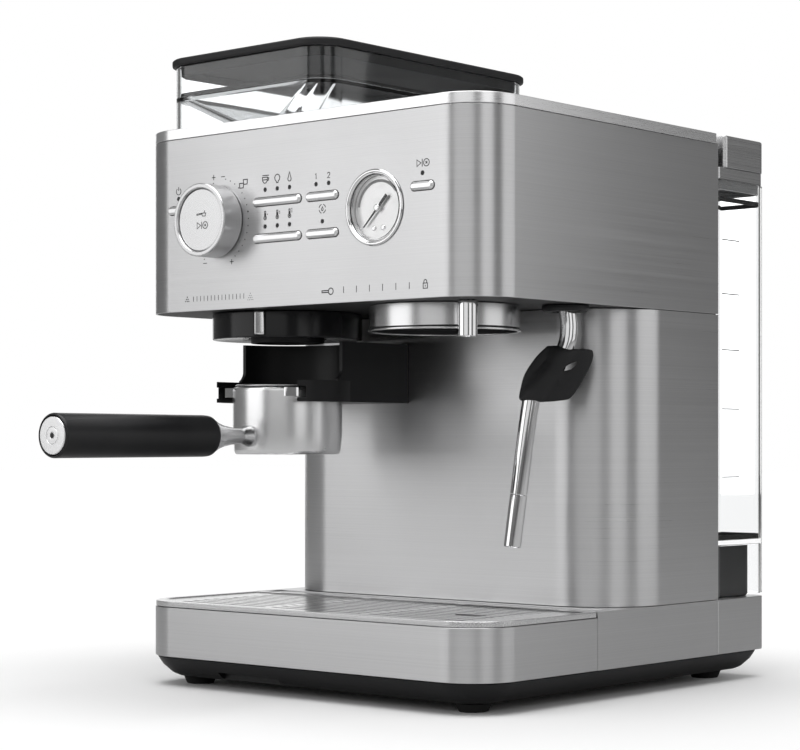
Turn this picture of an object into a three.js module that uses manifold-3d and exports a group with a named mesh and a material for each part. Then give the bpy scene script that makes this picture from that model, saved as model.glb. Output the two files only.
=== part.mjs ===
// Espresso machine with a built-in burr grinder, in millimetres, +Z up.
// X runs from the left side to the right side, Y from the front to the back.
// The parts are drawn with X = 0 on the middle plane and Y = 0 on the front panel.
// The outer group then moves the origin to the bottom centre of the bounding box.

import * as THREE from 'three';
import { mergeVertices } from 'three/addons/utils/BufferGeometryUtils.js';
import Module from 'manifold-3d';

const wasm = await Module();
wasm.setup();

// ---------- Driving dimensions ----------

const halfWidth = 150;
const headDepth = 254;
const totalDepth = 318;
const baseBottom = 19.8;
const baseTop = 56.5;
const headBottom = 249;
const headTop = 363.4;
const deckTop = 370.6;
const trayDepth = 116;
const columnFront = 136;
const frontRadius = 33;
const columnRadius = 50;
const rearRadius = 12;
const sheet = 1.2;
const gap = 0.3;
const moulding = 2.5;

const grinder = { x: -70, y: 65 };
const group = { x: 68, y: 65 };
const wand = { x: 128, y: 112, ballZ: 253 };
const knob = { x: -70.2, z: 306.4, radius: 23.7, depth: 17.4 };
const gauge = { x: 66.6, z: 306, radius: 23.5 };
const handle = { z: 166.8, end: -139.1, grip: -9.5 };

const steel = { color: 0xb9babc, roughness: 0.32, metalness: 1 };
const brightSteel = { color: 0xd2d3d5, roughness: 0.2, metalness: 1 };
const chrome = { color: 0xdfe0e2, roughness: 0.07, metalness: 1 };
const blackPlastic = { color: 0x1b1b1c, roughness: 0.45, metalness: 0 };
const greyPlastic = { color: 0x5a5b5e, roughness: 0.6, metalness: 0 };
const clearPlastic = { color: 0xe6eaec, roughness: 0.05, metalness: 0, transparent: true, opacity: 0.35 };
const rubber = { color: 0x151515, roughness: 0.85, metalness: 0 };
const brass = { color: 0xb08d4f, roughness: 0.35, metalness: 1 };
const white = { color: 0xf0f0ee, roughness: 0.5, metalness: 0 };

// ---------- Solids ----------

function toSolid(geometry) {
  const bare = geometry.clone();
  bare.deleteAttribute('normal');
  bare.deleteAttribute('uv');
  const merged = mergeVertices(bare, 1e-4);
  return new wasm.Manifold(new wasm.Mesh({
    numProp: 3,
    vertProperties: new Float32Array(merged.attributes.position.array),
    triVerts: new Uint32Array(merged.index.array),
  }));
}

function toGeometry(solid) {
  const mesh = solid.getMesh();
  const geometry = new THREE.BufferGeometry();
  geometry.setAttribute('position', new THREE.BufferAttribute(new Float32Array(mesh.vertProperties), 3));
  geometry.setIndex(new THREE.BufferAttribute(new Uint32Array(mesh.triVerts), 1));
  return geometry;
}

const join = (...solids) => solids.reduce((a, b) => a.add(b));
const cut = (solid, ...tools) => tools.reduce((a, b) => a.subtract(b), solid);
const at = (solid, x, y, z = 0) => solid.translate([x, y, z]);

function box(x0, x1, y0, y1, z0, z1) {
  const geometry = new THREE.BoxGeometry(x1 - x0, y1 - y0, z1 - z0);
  geometry.translate((x0 + x1) / 2, (y0 + y1) / 2, (z0 + z1) / 2);
  return toSolid(geometry);
}

// Points of a rectangle with rounded corners, counter-clockwise; the front and back corners differ.
function outline(x0, x1, y0, y1, frontR, backR = frontR, steps = 6) {
  const corners = [
    [x1 - backR, y1 - backR, backR, 0],
    [x0 + backR, y1 - backR, backR, 90],
    [x0 + frontR, y0 + frontR, frontR, 180],
    [x1 - frontR, y0 + frontR, frontR, 270],
  ];
  const points = [];
  for (const [cx, cy, r, start] of corners) {
    for (let i = 0; i <= steps; i += 1) {
      const angle = THREE.MathUtils.degToRad(start + (90 * i) / steps);
      points.push(new THREE.Vector2(cx + r * Math.cos(angle), cy + r * Math.sin(angle)));
    }
  }
  return points;
}

// The machine's plan outline, drawn in by an inset.
function plan(inset, y0, y1, frontR, backR, half = halfWidth, steps = 6) {
  const corner = (r) => Math.max(r - inset, 0.6);
  return outline(-half + inset, half - inset, y0 + inset, y1 - inset, corner(frontR), corner(backR), steps);
}

function circle(x, y, radius, count) {
  const points = [];
  for (let i = 0; i < count; i += 1) {
    const angle = (2 * Math.PI * (i + 0.5)) / count;
    points.push(new THREE.Vector2(x + radius * Math.cos(angle), y + radius * Math.sin(angle)));
  }
  return points;
}

function prism(points, z0, z1) {
  const geometry = new THREE.ExtrudeGeometry(new THREE.Shape(points), { depth: z1 - z0, bevelEnabled: false });
  geometry.translate(0, 0, z0);
  return toSolid(geometry);
}

// A prism that runs along Y; its points are (x, z).
function prismY(points, y0, y1) {
  const geometry = new THREE.ExtrudeGeometry(new THREE.Shape(points), { depth: y1 - y0, bevelEnabled: false });
  geometry.rotateX(Math.PI / 2);
  geometry.translate(0, y1, 0);
  return toSolid(geometry);
}

// Skin through rings that have the same number of points: [[points, z], ...], low ring first.
function loft(rings) {
  const count = rings[0][0].length;
  const positions = [];
  const index = [];
  rings.forEach(([points, z]) => points.forEach((p) => positions.push(p.x, p.y, z)));
  for (let ring = 0; ring < rings.length - 1; ring += 1) {
    for (let i = 0; i < count; i += 1) {
      const a = ring * count + i;
      const b = ring * count + ((i + 1) % count);
      index.push(a, b, b + count, a, b + count, a + count);
    }
  }
  const cap = THREE.ShapeUtils.triangulateShape(rings[0][0], []);
  const last = THREE.ShapeUtils.triangulateShape(rings[rings.length - 1][0], []);
  const top = (rings.length - 1) * count;
  cap.forEach(([a, b, c]) => index.push(a, c, b));
  last.forEach(([a, b, c]) => index.push(top + a, top + b, top + c));
  const geometry = new THREE.BufferGeometry();
  geometry.setAttribute('position', new THREE.Float32BufferAttribute(positions, 3));
  geometry.setIndex(index);
  return toSolid(geometry);
}

// A turned piece about Z from its (radius, z) profile, which is closed here.
function turned(profile, segments = 28) {
  const points = profile.map(([r, z]) => new THREE.Vector2(r, z));
  const onAxis = profile[0][0] === 0 && profile[profile.length - 1][0] === 0;
  if (!onAxis) points.push(points[0].clone());
  const geometry = new THREE.LatheGeometry(points, segments);
  geometry.rotateX(Math.PI / 2);
  const solid = toSolid(geometry);
  if (solid.volume() > 0) return solid;
  // A profile drawn the other way round comes out inside out, so its triangles are turned over.
  geometry.index.array.reverse();
  return toSolid(geometry);
}

// The same about an axis along Y; the profile is (radius, y).
const turnedY = (profile, segments = 28) => turned(profile.map(([r, y]) => [r, -y]), segments)
  .rotate([90, 0, 0]);

const rod = (radius, z0, z1, segments = 24) => turned([[0, z0], [radius, z0], [radius, z1], [0, z1]], segments);
const rodY = (radius, y0, y1, segments = 24) => turnedY([[0, y0], [radius, y0], [radius, y1], [0, y1]], segments);

// A round bar swept along a smooth curve.
function bar(points, radius, sides, steps) {
  const curve = new THREE.CatmullRomCurve3(points.map((p) => new THREE.Vector3(...p)), false, 'centripetal');
  const section = new THREE.Shape(circle(0, 0, radius, sides));
  return toSolid(new THREE.ExtrudeGeometry(section, { extrudePath: curve, steps, bevelEnabled: false }));
}

const pill = (x, z, width, height, steps = 5) => outline(
  x - width / 2, x + width / 2, z - height / 2, z + height / 2, height / 2, height / 2, steps,
);

// ---------- Assembly ----------

const machine = new THREE.Group();
machine.position.y = -(handle.end + totalDepth) / 2;
const assembly = new THREE.Group();
machine.add(assembly);

function addPart(name, solid, look, place = [0, 0, 0]) {
  const mesh = new THREE.Mesh(toGeometry(solid), new THREE.MeshStandardMaterial(look));
  mesh.name = name;
  mesh.position.set(...place);
  assembly.add(mesh);
}

// ---------- Base ----------

function basePan() {
  const ring = (inset, z) => [plan(inset, 0, totalDepth, frontRadius, rearRadius + 8), z];
  const pan = loft([ring(17, 5.5), ring(11, 8), ring(5, 13.5), ring(1.6, 19.4)]);
  const pocket = prism(plan(20, 0, totalDepth, frontRadius, rearRadius + 10), 8.5, 21);
  const recess = box(-75, -20, -5, 12, 0, 12);
  return cut(pan, pocket, recess);
}
addPart('base_pan', basePan(), blackPlastic);

const footHeight = 5.2;
const footPlaces = {
  foot_front_left: [-119, 31], foot_front_right: [119, 31],
  foot_rear_left: [-119, 285], foot_rear_right: [119, 285],
};
for (const [name, [x, y]] of Object.entries(footPlaces)) {
  addPart(name, turned([[0, 0], [9, 0], [11.2, footHeight], [0, footHeight]], 20), rubber, [x, y, 0]);
}

function baseSideCover() {
  const y0 = trayDepth + gap;
  const y1 = headDepth - gap;
  const block = box(-halfWidth, halfWidth, y0, y1, baseBottom, baseTop);
  const inside = box(-halfWidth + sheet, halfWidth - sheet, y0 - 1, y1 + 1, baseBottom - 1, baseTop - sheet);
  const traySlot = box(-143.5, 143.5, y0 - 1, columnFront - 1.5, baseBottom, baseTop + 1);
  const shaft = box(-120, 120, 152, 246, baseBottom, baseTop + 1);
  return cut(block, inside, traySlot, shaft);
}
addPart('base_side_cover', baseSideCover(), steel);

const inlet = { x: 100, z: 38 };

function baseRearCover() {
  const y0 = headDepth + gap;
  const outer = prism(outline(-halfWidth, halfWidth, y0, totalDepth, 0.6, rearRadius), baseBottom, baseTop);
  const inner = prism(
    outline(-halfWidth + sheet, halfWidth - sheet, y0 - 9, totalDepth - sheet, 0.6, rearRadius - sheet),
    baseBottom - 1, baseTop - sheet,
  );
  return cut(outer, inner, at(rodY(8.2, totalDepth - 5, totalDepth + 5, 20), inlet.x, 0, inlet.z));
}
addPart('base_rear_cover', baseRearCover(), steel);

// The cord outlet: a block behind the rear cover with a hollow nipple in the cover's hole.
function powerInlet() {
  const body = box(-16, 16, totalDepth - 24, totalDepth - sheet - gap, -11, 11);
  const nipple = rodY(7.6, totalDepth - 8, totalDepth - 0.1, 20);
  const bore = rodY(3.6, totalDepth - 14, totalDepth + 2, 12);
  return cut(join(body, nipple), bore);
}
addPart('power_inlet', powerInlet(), blackPlastic, [inlet.x, 0, inlet.z]);

// ---------- Column and head ----------

function columnShell() {
  const outer = prism(outline(-halfWidth, halfWidth, columnFront, headDepth, columnRadius, 0.6, 8),
    baseTop + gap, headBottom - gap);
  const inner = prism(
    outline(-halfWidth + sheet, halfWidth - sheet, columnFront + sheet, headDepth + 9,
      columnRadius - sheet, 0.6, 8),
    baseTop, headBottom,
  );
  return cut(outer, inner);
}
addPart('column_shell', columnShell(), steel);

const upperRow = 316.3;
const lowerRow = 293;
const buttons = {
  power_button: { x: -107.4, z: upperRow, width: 18.5 },
  mode_button: { x: -16.2, z: upperRow, width: 42.4 },
  temperature_button: { x: -16.2, z: lowerRow, width: 42.4 },
  shot_button: { x: 23, z: upperRow, width: 27.3 },
  clean_button: { x: 23, z: lowerRow, width: 27.3 },
  steam_button: { x: 105.1, z: upperRow, width: 18.5 },
};
const buttonHeight = 5.4;

const lampPitch = 10.8;
const lamps = [
  [-107.4, 324],
  ...[-1, 0, 1].map((i) => [-16.2 + i * lampPitch, 324]),
  ...[-1, 0, 1].map((i) => [-16.2 + i * lampPitch, 300.5]),
  [23 - lampPitch / 2, 324], [23 + lampPitch / 2, 324],
  [23, 300.5],
  [105, 324],
];

function headShell() {
  const outer = prism(outline(-halfWidth, halfWidth, 0, headDepth, frontRadius, 0.6), headBottom, headTop);
  const inner = prism(
    outline(-halfWidth + sheet, halfWidth - sheet, sheet, headDepth + 9, frontRadius - sheet, 0.6),
    headBottom - 1, headTop + 1,
  );
  const openings = [
    at(rodY(9, -3, 3, 24), knob.x, 0, knob.z),
    at(rodY(21.4, -3, 3, 28), gauge.x, 0, gauge.z),
    ...Object.values(buttons).map((b) => prismY(pill(b.x, b.z, b.width + 0.8, buttonHeight + 0.8, 3), -3, 3)),
    ...lamps.map(([x, z]) => at(rodY(1.6, -3, 3, 8), x, 0, z)),
  ];
  return cut(outer, inner, ...openings);
}
addPart('head_shell', headShell(), steel);

const floorBottom = headBottom + 0.2;
const floorTop = headBottom + 2.4;

function headFloor() {
  const inset = sheet + 0.4;
  const plate = prism(
    outline(-halfWidth + inset, halfWidth - inset, inset, 250, frontRadius - inset, 0.6), floorBottom, floorTop,
  );
  const hole = (x, y, r, n) => at(rod(r, headBottom - 2, headBottom + 6, n), x, y);
  return cut(
    plate,
    hole(grinder.x, grinder.y, 25.6, 24),
    hole(group.x, group.y, 43.9, 28),
    hole(wand.x, wand.y, 12.4, 20),
    hole(spout.x, spout.y, 5, 12),
  );
}
const spout = { x: 114, y: 31.7, radius: 6.2, bottom: 226.8 };
addPart('head_floor', headFloor(), steel);

// The cup deck is the bright rim around the top with a shallow tray inside it.
const deckFloor = 367.5;

function topDeck() {
  const z0 = headTop + gap;
  const block = prism(plan(0, 0, headDepth, frontRadius, 3), z0, deckTop);
  const tray = prism(plan(2, 0, headDepth, frontRadius, 6), deckFloor, deckTop + 1);
  const under = prism(plan(3, 0, headDepth, frontRadius, 6), z0 - 1, deckFloor - moulding);
  return cut(block, tray, under, at(rod(23.7, 350, 380, 24), grinder.x, grinder.y));
}
addPart('top_deck', topDeck(), brightSteel);

// ---------- Bean hopper ----------

const hopperBox = { x0: -147.5, x1: 0, y0: 24, y1: 242.5, radius: 20 };
const hopperBottom = deckFloor + gap;
const hopperTop = 417.8;
const ledge = 397;

const hopperOutline = (inset) => outline(
  hopperBox.x0 + inset, hopperBox.x1 - inset, hopperBox.y0 + inset, hopperBox.y1 - inset,
  hopperBox.radius - inset * 0.8,
);

// A circle whose points pair up with those of a rounded rectangle.
function pairedCircle(x, y, radius, steps = 6) {
  const points = [];
  for (let corner = 0; corner < 4; corner += 1) {
    for (let i = 0; i <= steps; i += 1) {
      const angle = THREE.MathUtils.degToRad(90 * corner + 8 + (74 * i) / steps);
      points.push(new THREE.Vector2(x + radius * Math.cos(angle), y + radius * Math.sin(angle)));
    }
  }
  return points;
}

function hopper() {
  const neck = { outer: 22.4, inner: 20, bottom: 345 };
  const mouth = (radius) => pairedCircle(grinder.x, grinder.y, radius);
  const shell = join(
    prism(hopperOutline(0), hopperBottom, hopperTop),
    at(rod(neck.outer, neck.bottom, hopperBottom + 8, 24), grinder.x, grinder.y),
  );
  const bin = prism(hopperOutline(moulding), ledge, hopperTop + 1);
  const funnel = loft([[mouth(neck.inner), hopperBottom + 4], [hopperOutline(8), ledge + 0.5]]);
  const bore = at(rod(neck.inner, neck.bottom - 1, hopperBottom + 5, 24), grinder.x, grinder.y);
  const funnelSkin = loft([[mouth(neck.outer), hopperBottom - 1], [hopperOutline(5.5), ledge - moulding]]);
  const below = cut(
    prism(hopperOutline(moulding), hopperBottom - 1, ledge - moulding), funnelSkin,
    at(rod(neck.outer, hopperBottom - 2, ledge, 24), grinder.x, grinder.y),
  );
  return cut(shell, bin, funnel, bore, below);
}
addPart('hopper', hopper(), clearPlastic);

function hopperSeal() {
  const ring = prism(hopperOutline(2.9), ledge + gap, ledge + gap + 2.6);
  return cut(ring, prism(hopperOutline(5.2), ledge, ledge + 5));
}
addPart('hopper_seal', hopperSeal(), rubber);

function hopperLid() {
  const z0 = hopperTop + gap;
  const slab = prism(outline(-150, 2.5, 21.5, 245, 22), z0, 423.4);
  const lip = cut(prism(hopperOutline(3.2), 412, z0 + 1), prism(hopperOutline(5.4), 411, z0));
  return join(slab, lip);
}
addPart('hopper_lid', hopperLid(), blackPlastic);

// ---------- Grinder ----------

const burr = { top: 329.4, bottom: 308 };

function grinderHousing() {
  return turned([
    [38, 289], [38, 344.4], [24.4, 344.4], [24.4, 330], [33, 330], [33, 289],
  ], 24);
}
addPart('grinder_housing', grinderHousing(), greyPlastic, [grinder.x, grinder.y, 0]);

addPart('upper_burr', turned([
  [32.4, burr.bottom], [32.4, burr.top], [23, burr.top], [27.6, burr.bottom],
], 24), steel, [grinder.x, grinder.y, 0]);

// The cone burr with its drive shaft; eight flutes cross the cone.
function lowerBurr() {
  const cone = turned([
    [0, 267], [4, 267], [4, 299], [26, 299], [26, burr.bottom], [9, 327], [0, 327],
  ], 20);
  const flutes = [];
  for (let i = 0; i < 8; i += 1) {
    const flute = box(14, 30, -1.2, 1.2, 306.5, 330);
    flutes.push(flute.rotate([0, 0, i * 45 + 10]));
  }
  return cut(cone, ...flutes);
}
addPart('lower_burr', lowerBurr(), steel, [grinder.x, grinder.y, 0]);

function grinderMotor() {
  const motorY = 172;
  const can = at(rod(34, 262, 346, 24), 0, motorY);
  const arm = box(-16, 16, grinder.y, motorY, 262, 276);
  const end = at(rod(16, 262, 276, 20), 0, grinder.y);
  return cut(join(can, arm, end), at(rod(4.5, 255, 280, 12), 0, grinder.y));
}
addPart('grinder_motor', grinderMotor(), greyPlastic, [grinder.x, 0, 0]);

function grindChute() {
  return turned([
    [24.6, 229.2], [24.6, 252.5], [36, 258], [36, 261], [33.5, 261], [22, 252], [22, 229.2],
  ], 28);
}
addPart('grind_chute', grindChute(), blackPlastic, [grinder.x, grinder.y, 0]);

const collar = { radius: 50.4, bore: 26.2, bottom: 231.3, top: 248.7, tabAngle: -66.4 };

addPart('grind_collar', turned([
  [collar.bore, collar.bottom], [collar.radius - 0.8, collar.bottom], [collar.radius, collar.bottom + 0.8],
  [collar.radius, collar.top - 0.8], [collar.radius - 0.8, collar.top], [collar.bore, collar.top],
], 40), blackPlastic, [grinder.x, grinder.y, 0]);

function grindTab() {
  const tab = box(collar.radius - 5, collar.radius + 2.9, -3.4, 3.4, collar.bottom + 1.6, 248.5);
  const face = rod(collar.radius + gap, collar.bottom, 249.5, 72);
  return cut(tab, face).rotate([0, 0, collar.tabAngle]);
}
addPart('grind_tab', grindTab(), brightSteel, [grinder.x, grinder.y, 0]);

// The fork carries the portafilter under the grinder: two side arms with grooves, a half-round
// guard wall above them, and a block that runs back to the column.
const fork = { outer: 48, bore: 37.6, groove: 40.9, bottom: 189.5, shelf: 203.5, top: 229.6, half: 46.5, fillet: 8 };

function dosingFork() {
  const back = columnFront - gap - grinder.y;
  const block = box(-fork.half, fork.half, 0, back, fork.bottom, fork.top);
  const ring = rod(fork.outer, fork.bottom, fork.shelf, 36);
  const cupPath = join(rod(fork.bore, 180, fork.shelf + 1, 36), box(-fork.bore, fork.bore, -60, 0, 180, 210));
  const groovePath = join(
    rod(fork.groove, 192.2, 199.7, 36), box(-fork.groove, fork.groove, -60, 0, 192.2, 199.7),
    box(-9, 9, 0, 44, 192.2, 199.7),
  );
  const guard = rod(fork.half - 2.5, fork.shelf, fork.top + 1, 36);
  const front = join(
    box(-60, 60, -60, 4 - fork.fillet, fork.shelf, fork.top + 1),
    box(-60, 60, -60, 4, fork.shelf + fork.fillet, fork.top + 1),
    at(rod(fork.fillet, -60, 60, 24).rotate([0, 90, 0]), 0, 4 - fork.fillet, fork.shelf + fork.fillet),
  );
  return cut(join(block, ring), cupPath, groovePath, guard, front);
}
addPart('dosing_fork', dosingFork(), blackPlastic, [grinder.x, grinder.y, 0]);

// ---------- Portafilter ----------

const cup = { radius: 36.9, foot: 35.6, inner: 33.4, bottom: 154.6, top: 199.5 };

function arcBlock(inner, outer, from, to, z0, z1, steps = 5) {
  const points = [];
  for (let i = 0; i <= steps; i += 1) {
    const a = THREE.MathUtils.degToRad(from + ((to - from) * i) / steps);
    points.push(new THREE.Vector2(outer * Math.cos(a), outer * Math.sin(a)));
  }
  for (let i = steps; i >= 0; i -= 1) {
    const a = THREE.MathUtils.degToRad(from + ((to - from) * i) / steps);
    points.push(new THREE.Vector2(inner * Math.cos(a), inner * Math.sin(a)));
  }
  return prism(points, z0, z1);
}

function portafilterCup() {
  const wall = turned([
    [0, 160], [29, 160], [31, cup.bottom], [cup.foot, cup.bottom], [cup.radius, 162], [cup.radius, cup.top],
    [cup.inner, cup.top], [cup.inner, 166], [0, 163],
  ], 36);
  const ears = [
    arcBlock(35, 42, -49, -35, 193, 198.5, 3), arcBlock(35, 42, -145, -131, 193, 198.5, 3),
    arcBlock(35, 42, 82, 98, 193, 198.5, 3),
    arcBlock(35, 39.9, -24, 24, 193, 198.5), arcBlock(35, 39.9, 156, 204, 193, 198.5),
  ];
  const outlets = [-9, 9].map((x) => at(rod(3.2, 150, 170, 10), x, 0));
  return cut(join(wall, ...ears), ...outlets);
}
addPart('portafilter_cup', portafilterCup(), chrome, [grinder.x, grinder.y, 0]);

addPart('filter_basket', turned([
  [0, 174.5], [28.6, 174.5], [29.8, 199], [31, cup.top + gap], [35.4, cup.top + gap], [35.4, cup.top + 1.5],
  [29.6, cup.top + 1.5], [28.7, 199], [27.6, 175.6], [0, 175.6],
], 28), brightSteel, [grinder.x, grinder.y, 0]);

function portafilterNeck() {
  const start = grinder.y - cup.radius - gap;
  const neck = turnedY([
    [0, handle.grip - 14], [5, handle.grip - 14], [5, handle.grip + gap], [12.2, handle.grip + gap],
    [9, handle.grip + 7], [7, handle.grip + 13.5], [5.6, handle.grip + 21], [5.2, handle.grip + 28],
    [6.8, start - 3], [7.4, start + 1.6], [0, start + 1.6],
  ], 16);
  return cut(at(neck, 0, 0, handle.z), at(rod(cup.radius + gap, 140, 200, 72), 0, grinder.y));
}
addPart('portafilter_neck', portafilterNeck(), chrome, [grinder.x, 0, 0]);

addPart('handle_grip', turnedY([
  [5.4, handle.end + 4.5], [12.5, handle.end + 4.5], [12.5, handle.end + 0.4], [13.2, handle.end + 0.2],
  [13.8, handle.end + 1.2], [13.4, handle.grip - 4], [12, handle.grip], [5.4, handle.grip],
], 24), blackPlastic, [grinder.x, 0, handle.z]);

addPart('handle_cap', turnedY([
  [0, handle.end], [11.2, handle.end], [12.1, handle.end + 0.6], [12.1, handle.end + 4], [5, handle.end + 4],
  [5, handle.end + 12], [0, handle.end + 12],
], 20), brightSteel, [grinder.x, 0, handle.z]);

// ---------- Brew group ----------

addPart('group_ring', turned([
  [46.4, 232.3], [48.5, 232.3], [48.5, 233.4], [47.5, 234.4], [47.5, 248.7], [44, 248.7], [44, 238], [46.4, 236],
], 36), brightSteel, [group.x, group.y, 0]);

addPart('group_head', turned([
  [0, 246], [43.4, 246], [43.4, 262], [0, 262],
], 28), greyPlastic, [group.x, group.y, 0]);

addPart('group_gasket', turned([
  [29, 241.5], [37.2, 241.5], [37.2, 245.7], [29, 245.7],
], 24), rubber, [group.x, group.y, 0]);

addPart('shower_screen', turned([
  [0, 242], [27, 242], [28.6, 243], [28.6, 245.7], [0, 245.7],
], 24), brightSteel, [group.x, group.y, 0]);

// The hot water spout is a hollow post in front of the group ring.
addPart('hot_water_spout', turned([
  [0, 244], [3.4, 244], [3.4, spout.bottom], [spout.radius - 0.5, spout.bottom],
  [spout.radius, spout.bottom + 0.5], [spout.radius, 248.9], [4.6, 248.9], [4.6, 258], [0, 258],
], 16), chrome, [spout.x, spout.y, 0]);

// ---------- Steam wand ----------

const socketBottom = 244.8;
const ball = { radius: 8.5, seat: 9.2 };

function wandSocket() {
  const seat = [];
  for (let angle = 20; angle >= -28; angle -= 16) {
    const a = THREE.MathUtils.degToRad(angle);
    seat.push([ball.seat * Math.cos(a), wand.ballZ + ball.seat * Math.sin(a)]);
  }
  return turned([
    [9.4, socketBottom], [15, socketBottom], [15, floorBottom - gap], [11.8, floorBottom - gap],
    [11.8, wand.ballZ + 8], [9.3, wand.ballZ + 8], ...seat, [8.6, 247.4],
  ], 24);
}
addPart('wand_socket', wandSocket(), blackPlastic, [wand.x, wand.y, 0]);

// The wand leans to the front left; reach is measured along that direction from the ball.
const lean = THREE.MathUtils.degToRad(221);
const reachPoint = (reach, z) => [reach * Math.cos(lean), reach * Math.sin(lean), z];
const wandRadius = 5.55;
const seamZ = 129.8;
const tipZ = 96.8;
const lowEnd = { reach: 33.5, z: tipZ };
const knee = { reach: 22.2, z: 188.7 };
const lowReach = (z) => lowEnd.reach + ((knee.reach - lowEnd.reach) * (z - lowEnd.z)) / (knee.z - lowEnd.z);

const wandRoute = [
  [0, wand.ballZ], [-1.6, 243], [-2.2, 234], [-0.6, 224], [6, 210], [14.6, 199.5], [20.6, 192],
  [knee.reach + 0.3, 184], [lowReach(160), 160], [lowReach(seamZ + gap), seamZ + gap],
].map(([reach, z]) => reachPoint(reach, z));

const sphere = (radius, around, high) => toSolid(new THREE.SphereGeometry(radius, around, high))
  .translate([0, 0, wand.ballZ]);

addPart('wand_ball', sphere(ball.radius, 20, 12), chrome, [wand.x, wand.y, 0]);

addPart('wand_tube', cut(bar(wandRoute, wandRadius, 12, 30), sphere(ball.radius + gap, 32, 20)), chrome,
  [wand.x, wand.y, 0]);

function wandTip() {
  const upper = reachPoint(lowReach(seamZ), seamZ);
  const lower = reachPoint(lowEnd.reach, lowEnd.z);
  const line = new THREE.LineCurve3(new THREE.Vector3(...upper), new THREE.Vector3(...lower));
  const section = new THREE.Shape(circle(0, 0, wandRadius, 12));
  const solid = toSolid(new THREE.ExtrudeGeometry(section, { extrudePath: line, steps: 1, bevelEnabled: false }));
  return cut(solid, at(rod(0.9, tipZ - 3, tipZ + 8, 8), lower[0], lower[1]));
}
addPart('wand_tip', wandTip(), chrome, [wand.x, wand.y, 0]);

// The leaf-shaped silicone grip: a thick sleeve on the tube that thins to a finger tab.
function wandGrip() {
  const leaf = [
    [11.5, 223.4], [4.5, 223.6], [-3.1, 221.6], [-15.2, 221.3], [-17.6, 218.5], [-16.6, 213], [-13.8, 207],
    [-9.4, 198.8], [-3.7, 191.2], [1, 189.2], [15.2, 188], [25, 188.4], [29.1, 190], [28.4, 196.3],
    [25.6, 206], [18.4, 216.7],
  ].map(([reach, z]) => new THREE.Vector2(reach, z));
  const slot = [[2.4, 207.4], [-0.6, 210.9], [-7, 213.4], [-4, 209]].map(([r, z]) => new THREE.Vector2(r, z));
  const tabHalf = 3;
  const tab = prismY(leaf, -tabHalf, tabHalf);
  const window = prismY(slot, -9, 9);
  const sleeve = bar([[-0.4, 0, 222.8], [6, 0, 210], [14.6, 0, 199.5], [20.6, 0, 192], [22.4, 0, 188.6]],
    wandRadius + 2.6, 12, 9);
  const upright = join(tab, cut(sleeve, box(-40, 40, -20, 20, 223.5, 240), box(-40, 40, -20, 20, 170, 188.1)));
  return cut(upright, window).rotate([0, 0, 221]).subtract(bar(wandRoute, wandRadius + gap, 12, 30));
}
addPart('wand_grip', wandGrip(), rubber, [wand.x, wand.y, 0]);

// ---------- Controls ----------

addPart('knob_ring', turnedY([
  [6, -7], [20.3, -7], [20.3, -knob.depth + 0.6], [20.8, -knob.depth], [knob.radius - 0.6, -knob.depth],
  [knob.radius, -knob.depth + 0.7], [knob.radius, -0.5], [8.4, -0.5], [8.4, 5.6], [6, 5.6],
], 32), brightSteel, [knob.x, 0, knob.z]);

addPart('brew_button', turnedY([
  [0, -knob.depth + 1.2], [19.5, -knob.depth + 1.2], [20, -knob.depth + 1.7], [20, -11.4], [5.4, -11.4],
  [5.4, 5], [0, 5],
], 28), brightSteel, [knob.x, 0, knob.z]);

for (const [name, b] of Object.entries(buttons)) {
  addPart(name, prismY(pill(0, 0, b.width, buttonHeight, 4), -2.1, 4.4), brightSteel, [b.x, 0, b.z]);
}

addPart('gauge_body', turnedY([
  [0, 5], [19.9, 5], [20.2, -0.2], [21, -1.3], [22.5, -1.3], [gauge.radius, -0.8], [gauge.radius, -gap],
  [20.9, -gap], [20.9, 24], [0, 24],
], 32), brightSteel, [gauge.x, 0, gauge.z]);

addPart('gauge_glass', rodY(19.6, 0, 1, 28), clearPlastic, [gauge.x, 0, gauge.z]);

function gaugeNeedle() {
  const hub = rodY(2.3, 1.5, 4.6, 12);
  const blade = prismY([[0.7, 0], [0.35, 16], [-0.35, 16], [-0.7, 0], [-0.9, -10.4], [0.9, -10.4]]
    .map(([x, z]) => new THREE.Vector2(x, z)), 2.6, 3.4);
  return join(hub, blade).rotate([0, -135, 0]);
}
addPart('gauge_needle', gaugeNeedle(), blackPlastic, [gauge.x, 0, gauge.z]);

function lightGuide() {
  const plate = box(-118, 116, 6.6, 7.8, 284, 332);
  const posts = lamps.map(([x, z]) => at(rodY(1.25, 0.15, 7, 8), x, 0, z));
  return cut(
    join(plate, ...posts),
    at(rodY(10, 5, 9, 16), knob.x, 0, knob.z), at(rodY(21.8, 5, 9, 24), gauge.x, 0, gauge.z),
  );
}
addPart('light_guide', lightGuide(), white);

function controlBoard() {
  const board = box(-120, 118, 8.2, 9.8, 270, 345);
  const hole = at(rodY(21.8, 5, 12, 24), gauge.x, 0, gauge.z);
  const transformer = box(-30, 10, 9.5, 24, 275, 298);
  return cut(join(board, transformer), hole);
}
addPart('control_board', controlBoard(), greyPlastic);

// ---------- Water circuit ----------

function thermoblock() {
  const block = box(34, 102, 46, 112, 263, 322);
  const fins = [];
  for (let x = 40; x < 98; x += 12) fins.push(box(x, x + 5, 44, 114, 314, 324));
  return cut(block, ...fins);
}
addPart('thermoblock', thermoblock(), steel);

function pump() {
  const body = rod(24, -38, 38, 20);
  const nose = rod(9, 37, 62, 16);
  return join(body, nose).rotate([0, 90, 0]);
}
addPart('pump', pump(), brass, [-10, 196, 96]);

// ---------- Water tank ----------

const tank = { front: headDepth + 0.5, bottom: 58.5, floor: 93, top: 340.3 };

const tankOutline = (inset, back = rearRadius) => outline(
  -halfWidth + inset, halfWidth - inset, tank.front + inset, totalDepth - inset,
  Math.max(3 - inset, 0.6), Math.max(back - inset, 0.6),
);

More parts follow.
